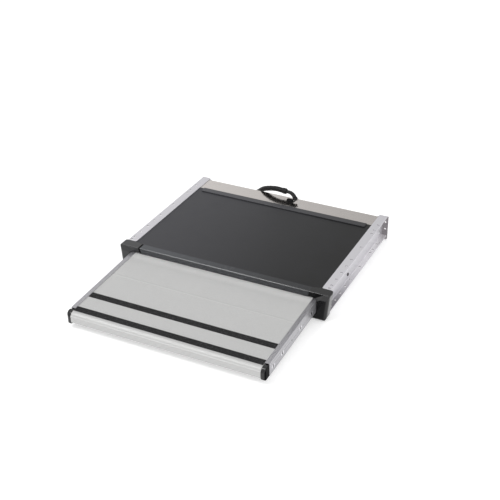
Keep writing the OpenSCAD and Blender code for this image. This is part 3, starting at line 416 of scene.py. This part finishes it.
def rubber(name, colour, sheen=0.4):
    """Black rubber with a faint bloom."""
    def recipe(mm):
        bloom = mm.noise(0.12, 5.0).step(0.45, 0.8)
        skin = mm.noise(2.5, 3.0)
        return {
            "Base Color": bloom.between(colour, shade(colour, 1.9)),
            "Roughness": 0.62 + bloom * 0.16 + (skin - 0.5) * 0.1,
            "relief": (skin, 0.03),
        }
    return make_material(name, recipe, Specular_IOR_Level=sheen)


# NODE FINISHES

def dress(material, *nodes):
    """Gives a material to CAD nodes."""
    for name in nodes:
        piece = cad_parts[name]
        for place in piece.material_slots:
            place.material = material
        if not piece.material_slots:
            piece.data.materials.append(material)


def soften(width_mm, *nodes):
    """Rounds the edges of CAD nodes by a small bevel, so that they catch the light."""
    for name in nodes:
        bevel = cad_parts[name].modifiers.new("edge", "BEVEL")
        bevel.width = width_mm / MM
        bevel.segments = 2
        bevel.limit_method = "ANGLE"
        bevel.angle_limit = math.radians(38.0)
        bevel.use_clamp_overlap = True
        bevel.harden_normals = False


def round_off(grain_mm, turns, *nodes):
    """Turns the facets of moulded CAD nodes into soft curves."""
    for name in nodes:
        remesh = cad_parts[name].modifiers.new("skin", "REMESH")
        remesh.mode = "VOXEL"
        remesh.voxel_size = grain_mm / MM
        remesh.use_smooth_shade = True
        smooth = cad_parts[name].modifiers.new("round", "SMOOTH")
        smooth.factor = 0.5
        smooth.iterations = turns


# MESH HELPERS

def new_object(name, mesh, body, material):
    """Adds a piece that rides on a body."""
    piece = bpy.data.objects.new(name, mesh)
    bpy.context.scene.collection.objects.link(piece)
    mesh.materials.append(material)
    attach(piece, body)
    return piece


def mesh_from(name, points, faces, smooth=True):
    """A mesh from points and faces, with its faces turned outwards."""
    mesh = bpy.data.meshes.new(name)
    mesh.from_pydata([tuple(p) for p in points], [], faces)
    mesh.update()
    build = bmesh.new()
    build.from_mesh(mesh)
    bmesh.ops.recalc_face_normals(build, faces=build.faces)
    for face in build.faces:
        face.smooth = smooth
    build.to_mesh(mesh)
    build.free()
    return mesh


def smooth_line(points, steps):
    """A smooth curve through every point, with so many steps between two."""
    n = len(points) - 1
    line = []
    for i in range(n):
        p1, p2 = points[i], points[i + 1]
        p0 = 2 * p1 - p2 if i == 0 else points[i - 1]
        p3 = 2 * p2 - p1 if i == n - 1 else points[i + 2]
        for k in range(steps):
            t = k / steps
            line.append(0.5 * (2 * p1 + (p2 - p0) * t + (2 * p0 - 5 * p1 + 4 * p2 - p3) * t * t
                               + (3 * p1 - p0 - 3 * p2 + p3) * t ** 3))
    return line + [points[n]]


def length_of(line):
    return sum((b - a).length for a, b in zip(line, line[1:]))


def rings(line):
    """For each point of a line: its place and two directions across, carried without twist."""
    across = Vector((0, 0, 1))
    out = []
    for i, point in enumerate(line):
        ahead = (line[min(i + 1, len(line) - 1)] - line[max(i - 1, 0)]).normalized()
        across = (across - across.dot(ahead) * ahead).normalized()
        out.append((point, across.copy(), ahead.cross(across)))
    return out


def tube(name, line, radius, sides):
    """A closed tube along a line. radius is a number, or a function of the length so far and of the angle."""
    points, faces = [], []
    run = 0.0
    for i, (centre, u, v) in enumerate(rings(line)):
        if i:
            run += (line[i] - line[i - 1]).length
        for k in range(sides):
            angle = 2 * math.pi * k / sides
            r = radius(run, angle) if callable(radius) else radius
            points.append(centre + r * (math.cos(angle) * u + math.sin(angle) * v))
    last = (len(line) - 1) * sides
    for ring in range(0, last, sides):
        for k in range(sides):
            beside = (k + 1) % sides
            faces.append((ring + k, ring + sides + k, ring + sides + beside, ring + beside))
    faces.append(tuple(range(sides)))
    faces.append(tuple(last + k for k in reversed(range(sides))))
    return mesh_from(name, points, faces)


def rounded_boxes(name, boxes):
    """A mesh of boxes with round edges, each given by its low and high corner and the edges' radius."""
    build = bmesh.new()
    for low, high, radius in boxes:
        size = [b - a for a, b in zip(low, high)]
        middle = [(a + b) / 2 for a, b in zip(low, high)]
        place = Matrix.Translation(middle) @ Matrix.Diagonal((*size, 1.0))
        made = bmesh.ops.create_cube(build, size=1.0, matrix=place)
        edges = list(dict.fromkeys(edge for vertex in made["verts"] for edge in vertex.link_edges))
        bmesh.ops.bevel(build, geom=edges, offset=radius, segments=2, profile=0.5, affect="EDGES")
    mesh = bpy.data.meshes.new(name)
    build.to_mesh(mesh)
    build.free()
    return mesh


def cassette_point(p):
    """A point given from the lid's back edge and the side rails' top, in the part's frame."""
    return Vector((p[0], p[1] + LID_BACK + FRONT_Y, p[2] + TOP_Z))


# SETTINGS

class StepColours(bpy.types.PropertyGroup):
    rail: FloatVectorProperty(name="Side rails", description="Aluminium of the cassette's side rails",
                              subtype="COLOR", size=3, default=(0.64, 0.63, 0.66), min=0, max=1)
    tread: FloatVectorProperty(name="Tread", description="Aluminium of the ribbed planks",
                               subtype="COLOR", size=3, default=(0.69, 0.69, 0.685), min=0, max=1)
    step_rail: FloatVectorProperty(name="Step rails", description="Aluminium beside the tread",
                                   subtype="COLOR", size=3, default=(0.40, 0.395, 0.415), min=0, max=1)
    cover: FloatVectorProperty(name="Cover", description="Coating of the cassette's top cover",
                               subtype="COLOR", size=3, default=(0.0165, 0.0165, 0.0195), min=0, max=1)
    profile: FloatVectorProperty(name="Front profile", description="Coating of the bar over the mouth",
                                 subtype="COLOR", size=3, default=(0.031, 0.033, 0.038), min=0, max=1)
    plastic: FloatVectorProperty(name="End caps", description="Plastic of the cassette's and the nose's caps",
                                 subtype="COLOR", size=3, default=(0.004, 0.004, 0.0045), min=0, max=1)
    lid: FloatVectorProperty(name="Lid", description="Steel of the lid over the motor",
                             subtype="COLOR", size=3, default=(0.64, 0.605, 0.58), min=0, max=1)
    tape: FloatVectorProperty(name="Grip strips", description="Binder of the anti-slip tape",
                              subtype="COLOR", size=3, default=(0.006, 0.006, 0.0065), min=0, max=1)


class StepSizes(bpy.types.PropertyGroup):
    sleeve: FloatProperty(name="Sleeve", description="Diameter of the cable's sleeve",
                          default=0.0158, min=0.010, max=0.016, unit="LENGTH")
    wire: FloatProperty(name="Wire", description="Diameter of one wire",
                        default=0.0024, min=0.002, max=0.0032, unit="LENGTH")
    edge: FloatProperty(name="Edge", description="Rounding of the extrusions' edges",
                        default=0.0004, min=0.0001, max=0.001, unit="LENGTH")


class StepLight(bpy.types.PropertyGroup):
    key: FloatProperty(name="Key lamp", description="Power of the lamp above the front left",
                       default=20.0, min=0, unit="POWER")
    side: FloatProperty(name="Side lamp", description="Power of the lamp on the right",
                        default=12.0, min=0, unit="POWER")
    room: FloatProperty(name="Room", description="Strength of the light from all round", default=0.72, min=0)
    far_wall: FloatProperty(name="Far wall", description="How bright the wall behind looks in polished metal",
                            default=0.6, min=0, max=1)
    floor: FloatVectorProperty(name="Floor", description="Colour of the floor", subtype="COLOR", size=3,
                               default=(0.86, 0.86, 0.86), min=0, max=1)


# OPERATORS

class STEP_OT_camera(bpy.types.Operator):
    """Camera that looks down at the step from its front right"""
    bl_idname = "step.camera"
    bl_label = "Camera"

    def execute(self, context):
        lens = bpy.data.cameras.new("camera")
        lens.sensor_width = SENSOR_MM
        lens.lens = FOCAL_PX / PICTURE_PX * SENSOR_MM
        lens.clip_end = 50.0
        camera = bpy.data.objects.new("camera", lens)
        back = Vector(CAMERA_BACK)
        right = Vector((0, 0, 1)).cross(back).normalized()
        up = back.cross(right)
        camera.matrix_world = Matrix((
            (right.x, up.x, back.x, CAMERA_PLACE[0]),
            (right.y, up.y, back.y, CAMERA_PLACE[1] + FRONT_Y),
            (right.z, up.z, back.z, CAMERA_PLACE[2] + TOP_Z),
            (0, 0, 0, 1)))
        context.scene.collection.objects.link(camera)
        context.scene.camera = camera
        return {"FINISHED"}


# The routes of the sleeve and of the wires, from the lid's back edge and the side rails' top
SLEEVE_POINTS = [
    (-0.190, 0.006, -0.045), (-0.190, 0.016, -0.045), (-0.182, 0.035, -0.045), (-0.163, 0.043, -0.043),
    (-0.142, 0.039, -0.037), (-0.125, 0.029, -0.025), (-0.110, 0.018, -0.011), (-0.093, 0.009, 0.003),
    (-0.072, 0.003, 0.012), (-0.048, -0.001, 0.0175), (-0.026, -0.004, 0.018)]
WIRE_POINTS = [
    (-0.012, -0.006, 0.0183), (-0.006, -0.0068, 0.0184), (0.001, -0.0085, 0.0185), (0.008, -0.012, 0.0178),
    (0.015, -0.0165, 0.0155), (0.021, -0.021, 0.0115), (0.0245, -0.025, 0.007), (0.0245, -0.0277, 0.0038),
    (0.0215, -0.0288, 0.0025), (0.018, -0.029, 0.0023)]
# The direction of the taped end, and the level direction across it in which the wires lie abreast
TAPE_AXIS = Vector((22, -3, 0.5)).normalized()
WIRE_ACROSS = Vector((0, 0, 1)).cross(TAPE_AXIS).normalized()
# How far one wire lies beside the next
WIRE_SPREAD = 0.0032
# The taped end: its length, the number of parts along it, and the width of a turn of the tape
TAPE_LEN = 0.0142
TAPE_PARTS = 56
TAPE_TURN = 0.0052
# The sleeve's rings: their pitch and half their height
RING_PITCH = 0.0031
RING_RISE = 0.0002
# The tape round the wires: half its thickness, half its width across them and the width of a turn, and
# the steps of the route at which it ends and the cable tie sits
WRAP_THICK = 0.0046
WRAP_WIDE = 0.0066
WRAP_TURN = 0.0045
WRAP_END = 38
TIE_STEP = 31
TIE_THICK = 0.0009
# The connector's low corner, given like the routes, and its size
CONNECTOR_CORNER = (0.0, -0.036, -0.0023)
CONNECTOR_SIZE = (0.018, 0.014, 0.009)
# Each wire's name and colour
WIRES = (("wire_black", (0.004, 0.004, 0.0045)), ("wire_dark", (0.006, 0.006, 0.006)),
         ("wire_pale", (0.38, 0.37, 0.35)))


class STEP_OT_cable(bpy.types.Operator):
    """Sleeve that rises behind the lid and lies over its edge, with its taped end"""
    bl_idname = "step.cable"
    bl_label = "Cable"

    def execute(self, context):
        sizes = context.scene.step_sizes
        black = make_material("sleeve_pvc", self.sleeve_recipe, Specular_IOR_Level=0.25)
        tape_skin = make_material("tape_vinyl", self.tape_recipe, Specular_IOR_Level=0.3)
        knots = [cassette_point(p) for p in SLEEVE_POINTS]
        line = smooth_line(knots, 10)
        radius = sizes.sleeve / 2

        def skin(run, angle):
            return radius - 0.00022 + RING_RISE * math.cos(run / RING_PITCH * 2 * math.pi) ** 3

        sleeve = new_object("sleeve", tube("sleeve", line, skin, 28), "housing", black)
        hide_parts("cable_sleeve")

        # Tape wound in overlapping turns, which flatten out at both ends
        start = knots[-1]
        turns = [start + TAPE_AXIS * (TAPE_LEN * k / TAPE_PARTS - 0.0001) for k in range(TAPE_PARTS + 1)]

        def wound(run, angle):
            turn = (run / TAPE_TURN - angle / (2 * math.pi)) % 1.0
            fade = min(1.0, run / 0.002) * min(1.0, max(0.0, 0.0141 - run) / 0.0016)
            return 0.0072 + 0.0013 * fade + 0.0004 * turn * fade

        tape = new_object("tape", tube("tape", turns, wound, 36), "housing", tape_skin)
        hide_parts("sleeve_tape")

        path = smooth_line(knots, 3)
        length_of(path)
        return {"FINISHED"}

    @staticmethod
    def sleeve_recipe(mm):
        haze = mm.noise(0.3, 4.0)
        dust = mm.noise(0.06, 4.0).step(0.45, 0.75)
        return {
            "Base Color": dust.between((0.005, 0.005, 0.0055), (0.011, 0.011, 0.012)),
            "Roughness": 0.36 + (haze - 0.5) * 0.2 + dust * 0.1,
            "relief": (haze, 0.03),
        }

    @staticmethod
    def tape_recipe(mm):
        crease = mm.noise(0.9, 4.0)
        return {
            "Base Color": crease.step(0.4, 0.7).between((0.004, 0.004, 0.0045), (0.012, 0.012, 0.013)),
            "Roughness": 0.35 + (crease - 0.5) * 0.3,
            "relief": (crease, 0.12),
        }


class STEP_OT_wires(bpy.types.Operator):
    """Wires from the taped end down into the connector"""
    bl_idname = "step.wires"
    bl_label = "Wires and connector"

    def execute(self, context):
        sizes = context.scene.step_sizes
        knots = [cassette_point(p) for p in WIRE_POINTS]
        middle = smooth_line(knots, 6)
        nylon = moulded("connector_nylon", (0.003, 0.003, 0.0035), 0.3, 0.03, 0.2)
        connector = new_object("connector", self.connector(), "housing", nylon)
        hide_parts("wire_connector")
        vinyl = make_material("wrap_vinyl", STEP_OT_cable.tape_recipe, Specular_IOR_Level=0.3)

        def wound(run, angle, more=0.0):
            thick, wide = WRAP_THICK + more, WRAP_WIDE + more
            oval = thick * wide / math.hypot(wide * math.cos(angle), thick * math.sin(angle))
            return oval + 0.0003 * math.sin(run / WRAP_TURN * 2 * math.pi - angle)

        wrap = tube("wrap", middle[1:WRAP_END], wound, 28)
        wrap = new_object("wrap", wrap, "housing", vinyl)

        # A cable tie round the tape, with its cut-off tail
        knot = middle[TIE_STEP]
        tail = rounded_boxes("tie_tail", [(knot + Vector((0.0035, -0.0012, -0.0006)),
                                           knot + Vector((0.0115, 0.0012, 0.0006)), 0.0004)])
        new_object("tie_tail", tail, "housing", nylon)
        bent = middle[TIE_STEP - 1:TIE_STEP + 2]
        tie = tube("tie", bent, lambda run, angle: wound(0.0, angle, TIE_THICK), 28)
        new_object("tie", tie, "housing", nylon)

        wires = []
        for i, (name, colour) in enumerate(WIRES):
            line = [p + WIRE_ACROSS * WIRE_SPREAD * (i - 1) for p in middle]
            skin = moulded(name + "_skin", colour, 0.32, 0.015, 0.25)
            wire = new_object(name, tube(name, line, sizes.wire / 2, 16), "housing", skin)
            length_of(line)
            wires.append(wire)
        for wire in wires:
            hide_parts("cable_wires")
        return {"FINISHED"}

    @staticmethod
    def connector():
        """A flat housing with grip ribs at its sides, a latch on top and a lip at its mouth."""
        low = cassette_point(CONNECTOR_CORNER)
        high = low + Vector(CONNECTOR_SIZE)
        boxes = [(low + Vector((0, 0, 0.0001)), high, 0.0008)]
        for k in range(5):
            x = low.x + 0.0035 + 0.0026 * k
            boxes.append(((x, low.y - 0.0003, low.z + 0.0012),
                          (x + 0.0012, high.y + 0.0003, high.z - 0.0012), 0.0002))
        boxes.append(((low.x + 0.001, low.y + 0.0045, high.z - 0.0012),
                      (low.x + 0.013, high.y - 0.0045, high.z + 0.0009), 0.0005))
        boxes.append(((low.x + 0.0005, low.y + 0.004, high.z - 0.001),
                      (low.x + 0.0022, high.y - 0.004, high.z + 0.0016), 0.0004))
        return rounded_boxes("connector", boxes)


class STEP_OT_rails(bpy.types.Operator):
    """Side rails, guide tracks and rear brackets of the cassette"""
    bl_idname = "step.rails"
    bl_label = "Side rails"

    def execute(self, context):
        colours = context.scene.step_colours
        # Painted reflections on the low flange: darker towards the mouth, where it mirrors the black end cap,
        # and brighter towards the back
        painted_tints = ((self.low_flange(110.0, -30.0), 0.45), (self.low_flange(0.0, 240.0), 1.56))
        rails = ("left_side_rail", "right_side_rail")
        brackets = ("left_rear_bracket", "right_rear_bracket")
        dress(anodised("rail_anodised", tuple(colours.rail), 1, 0.42, 0.03, 0.65, painted_tints), *rails)
        dress(anodised("track_anodised", tuple(colours.step_rail), 1, 0.33),
              "left_guide_track", "right_guide_track")
        dress(zinc_coat("bracket_zinc", (0.36, 0.34, 0.35)), *brackets)
        soften(context.scene.step_sizes.edge * MM, *rails, *brackets)
        return {"FINISHED"}

    @staticmethod
    def low_flange(start, end):
        """A mask for painted reflection on the low flange's upper side, which grows between two places along
        the rail.
        """
        def mask(mm, up):
            _, y, z = mm.parts()
            return up * z.step(24.0, 19.0) * y.step(start, end)
        return mask


class STEP_OT_cover(bpy.types.Operator):
    """Black cover, its trim, the steel lid, and the panels behind and below"""
    bl_idname = "step.cover"
    bl_label = "Cover and lid"

    def execute(self, context):
        colours = context.scene.step_colours
        # fade paints light on the cover and its trim: paler to the left, darker to the right
        dress(powder_coat("cover_coat", tuple(colours.cover), 0.34, 0.03, 0.95, 0.26), "top_cover")
        dress(powder_coat("trim_coat", shade(colours.cover, 1.7), 0.36, 0.03, 0.5), "cover_rear_trim")
        dress(polished_steel("lid_steel", tuple(colours.lid)), "rear_plate")
        dress(zinc_coat("pan_zinc", (0.42, 0.42, 0.43)), "base_pan", "rear_panel")
        soften(context.scene.step_sizes.edge * MM, "top_cover", "cover_rear_trim", "rear_plate")
        return {"FINISHED"}


class STEP_OT_mouth(bpy.types.Operator):
    """Front profile, bar, end caps, wiper and glides round the mouth"""
    bl_idname = "step.mouth"
    bl_label = "Mouth"

    def execute(self, context):
        colours = context.scene.step_colours
        # fade paints light on the front profile too: paler to the left, darker to the right
        dress(powder_coat("profile_coat", tuple(colours.profile), 0.24, 0.012, 0.65, 0.38,
                          lambda mm: chamfer(mm) * 0.5), "front_profile")
        dress(anodised("bar_anodised", (0.55, 0.55, 0.56), 0, 0.3), "lower_front_bar")
        # The left cap is painted three times lighter than the right one: painted light on the same plastic
        dress(moulded("cap_plastic_painted_light", shade(colours.plastic, 3.0), 0.34, 0.02, 0.6), "left_end_cap")
        # The glossy coat is left out where it faces the front, and strongest on the chamfers
        dress(moulded("cap_plastic_gloss", tuple(colours.plastic), 0.14, 0.004, 0.18,
                      lambda mm: facings(mm)[1].step(-0.97, -0.9) * 0.5 + chamfer(mm) * 0.5), "right_end_cap")
        dress(rubber("wiper_rubber", (0.016, 0.016, 0.017)), "wiper_seal", "front_stops", "rear_stops")
        dress(moulded("glide_plastic", (0.012, 0.012, 0.013), 0.4), "mouth_glides")
        dress(moulded("shoe_plastic", (0.62, 0.62, 0.60), 0.4), "slide_shoes")
        soften(0.6, "front_profile", "lower_front_bar")
        # Painted shadow: a black strip fills the seam at the profile's left end
        new_object("seam_shadow_strip", self.seam_shadow_strip(), "housing",
                   rubber("seam_shadow_black", (0.002, 0.002, 0.002), 0.06))
        soften(0.8, "left_end_cap", "right_end_cap")
        return {"FINISHED"}

    @staticmethod
    def seam_shadow_strip():
        """A thin black strip in the gap between the left end cap and the front profile, as painted shadow in
        the gap.
        """
        # Its outer and its inner line in the side view, from the back over the top to the front's foot
        outer = [(0.0222, 0.0003), (0.0009, 0.0003), (-0.0003, -0.0009), (FACE_LEAN - 0.0003, -FRONT_H)]
        inner = [(0.0222, -0.0012), (0.0015, -0.0012), (0.0012, -0.0015), (FACE_LEAN + 0.0012, -FRONT_H)]
        points, faces = [], []
        for wide in SEAM_SIDES:
            for y, z in outer + inner[::-1]:
                x = -SEAM_X + SEAM_LEAN * -z / FRONT_H + wide
                points.append(Vector((x, y + FRONT_Y, z + TOP_Z)))
        count = len(outer) + len(inner)
        for k in range(count):
            beside = (k + 1) % count
            faces.append((k, beside, count + beside, count + k))
        for k in range(len(outer) - 1):
            for side in (0, count):
                faces.append((side + k, side + k + 1, side + count - 2 - k, side + count - 1 - k))
        return mesh_from("seam_shadow_strip", points, faces, smooth=False)


class STEP_OT_step(bpy.types.Operator):
    """Ribbed planks, grip strips, rails and nose caps of the step"""
    bl_idname = "step.step"
    bl_label = "Step"

    def execute(self, context):
        colours = context.scene.step_colours
        dress(ribbed_tread("tread_anodised", tuple(colours.tread)), "front_tread_plank", "rear_tread_plank")
        dress(grit("tape_grit", tuple(colours.tape)), "front_grip_strip", "rear_grip_strip")
        # Painted shade makes the tops darker than the sides, most of all on the right near the mouth, and
        # painted highlights make bright crescents round the screws
        painted_tints = ((self.painted_top_shade, 0.52), (lambda mm, up: painted_screw_highlight(mm), 2.4))
        dress(anodised("step_rail_anodised", tuple(colours.step_rail), 1, 0.28, 0.05, 0.6, painted_tints),
              "left_step_rail", "right_step_rail")
        # The caps are glossy except where they face sideways
        dress(moulded("nose_cap_plastic", tuple(colours.plastic), 0.16, 0.006, 0.01,
                      lambda mm: abs(facings(mm)[0]).step(0.85, 0.5)),
              "left_nose_cap", "right_nose_cap")
        soften(0.5, "left_step_rail", "right_step_rail")
        round_off(0.8, 14, "left_nose_cap", "right_nose_cap")
        return {"FINISHED"}

    @staticmethod
    def painted_top_shade(mm, up):
        """A mask for painted shade on the step rails' tops."""
        x, y, _ = mm.parts()
        return up * (0.12 + x.step(-60.0, 60.0) * (0.08 + y.step(-400.0, -120.0) * 0.55))


class STEP_OT_drive(bpy.types.Operator):
    """Motor, gearbox, spindle, racks, pinions and shaft"""
    bl_idname = "step.drive"
    bl_label = "Drive"

    def execute(self, context):
        dress(machined("turned_steel", (0.62, 0.62, 0.63)),
              "sync_shaft", "sync_pinions", "drive_spindle", "left_rack", "right_rack")
        dress(machined("zinc_fasteners", (0.58, 0.58, 0.60), 0.34),
              "track_rivets", "bracket_rivets", "pan_screws")
        dress(screw_heads("side_screw_zinc", (0.92, 0.92, 0.94)), "side_screws")
        dress(machined("black_fasteners", (0.06, 0.055, 0.06), 0.36), "web_screws")
        dress(machined("sintered_bronze", (0.42, 0.25, 0.10), 0.42), "shaft_bushes")
        dress(powder_coat("motor_paint", (0.035, 0.036, 0.040), 0.35, 0.02), "drive_motor")
        dress(anodised("die_casting", (0.50, 0.50, 0.51), 2, 0.45), "gearbox", "tail_beam")
        dress(zinc_coat("motor_bracket_zinc", (0.5, 0.5, 0.51)), "motor_bracket")
        dress(moulded("drive_plastic", (0.02, 0.02, 0.021), 0.4),
              "spindle_bearing", "spindle_nut", "cable_gland")
        return {"FINISHED"}


class STEP_OT_stage(bpy.types.Operator):
    """Pale floor, soft lamps and an even white room"""
    bl_idname = "step.stage"
    bl_label = "Stage"

    def execute(self, context):
        light = context.scene.step_light
        corners = [(x * FLOOR_HALF, y * FLOOR_HALF, FLOOR_Z) for x, y in ((-1, -1), (1, -1), (1, 1), (-1, 1))]
        mesh = mesh_from("floor", corners, [(0, 1, 2, 3)])
        floor = bpy.data.objects.new("floor", mesh)
        context.scene.collection.objects.link(floor)
        material = bpy.data.materials.new("floor")
        material.use_nodes = True
        tree = material.node_tree
        shader = tree.nodes["Principled BSDF"]
        shader.inputs["Base Color"].default_value = (*light.floor, 1.0)
        shader.inputs["Roughness"].default_value = 0.9
        shader.inputs["Emission Strength"].default_value = 1.0
        # It glows for the camera and in reflections, so that it looks white
        path = tree.nodes.new("ShaderNodeLightPath")
        seen = Value(tree, path.outputs["Is Camera Ray"]).most(Value(tree, path.outputs["Is Glossy Ray"]))
        seen = seen.most(Value(tree, path.outputs["Is Transmission Ray"]))
        glow = seen.between((0.0, 0.0, 0.0), (0.42, 0.42, 0.42))
        tree.links.new(glow.socket, shader.inputs["Emission Color"])
        mesh.materials.append(material)

        room = bpy.data.worlds.new("room")
        room.use_nodes = True
        context.scene.world = room
        tree = room.node_tree
        background = tree.nodes["Background"]
        background.inputs["Color"].default_value = (1, 1, 1, 1)
        path = tree.nodes.new("ShaderNodeLightPath")
        camera = Value(tree, path.outputs["Is Camera Ray"])
        mirrored = Value(tree, path.outputs["Is Glossy Ray"])
        mirrored = mirrored.most(Value(tree, path.outputs["Is Transmission Ray"]))
        # The wall behind looks dimmer in polished metal than the rest of the room
        x, y, z = Value(tree, tree.nodes.new("ShaderNodeTexCoord").outputs["Generated"]).parts()
        dim = x.step(-0.54, -0.22) * (1.0 - x.step(0.1, 0.5)) * (1.0 - z.step(0.52, 0.8)) * y.step(0.0, 0.5)
        wall = 1.0 - (1.0 - light.far_wall) * dim
        strength = (1.0 - mirrored) * light.room + mirrored * wall
        tree.links.new((strength + camera * (1.0 - light.room)).socket, background.inputs["Strength"])

        lamps = (("key", light.key, 0.8, (-1.0, -1.35, 2.2)), ("side", light.side, 1.6, (2.2, -0.6, 1.1)))
        for name, power, size, place in lamps:
            lamp = bpy.data.lights.new(name, "AREA")
            lamp.energy = power
            lamp.size = size
            holder = bpy.data.objects.new(name, lamp)
            holder.location = place
            towards = Vector((0, 0, 0.03)) - Vector(place)
            holder.rotation_euler = towards.to_track_quat("-Z", "Y").to_euler()
            context.scene.collection.objects.link(holder)
        context.scene.view_settings.view_transform = "Standard"
        return {"FINISHED"}


class STEP_PT_panel(bpy.types.Panel):
    """Lists the pieces of the step"""
    bl_idname = "STEP_PT_panel"
    bl_label = "Caravan pull out step"
    bl_space_type = "VIEW_3D"
    bl_region_type = "UI"
    bl_category = "Step"

    def draw(self, context):
        scene = context.scene
        for group in (scene.step_colours, scene.step_sizes, scene.step_light):
            for name in group.bl_rna.properties.keys():
                if name not in {"rna_type", "name"}:
                    self.layout.prop(group, name)
        for piece in OPERATORS:
            self.layout.operator(piece.bl_idname)


OPERATORS = (STEP_OT_camera, STEP_OT_cable, STEP_OT_wires, STEP_OT_rails, STEP_OT_cover, STEP_OT_mouth,
             STEP_OT_step, STEP_OT_drive, STEP_OT_stage)
GROUPS = (StepColours, StepSizes, StepLight)


def register():
    for made in (*GROUPS, *OPERATORS, STEP_PT_panel):
        bpy.utils.register_class(made)
    bpy.types.Scene.step_colours = PointerProperty(type=StepColours)
    bpy.types.Scene.step_sizes = PointerProperty(type=StepSizes)
    bpy.types.Scene.step_light = PointerProperty(type=StepLight)


def unregister():
    del bpy.types.Scene.step_light
    del bpy.types.Scene.step_sizes
    del bpy.types.Scene.step_colours
    for made in reversed((*GROUPS, *OPERATORS, STEP_PT_panel)):
        bpy.utils.unregister_class(made)


def main():
    register()
    for piece in OPERATORS:
        group, name = piece.bl_idname.split(".")
        getattr(getattr(bpy.ops, group), name)()


if __name__ == "__main__":
    main()
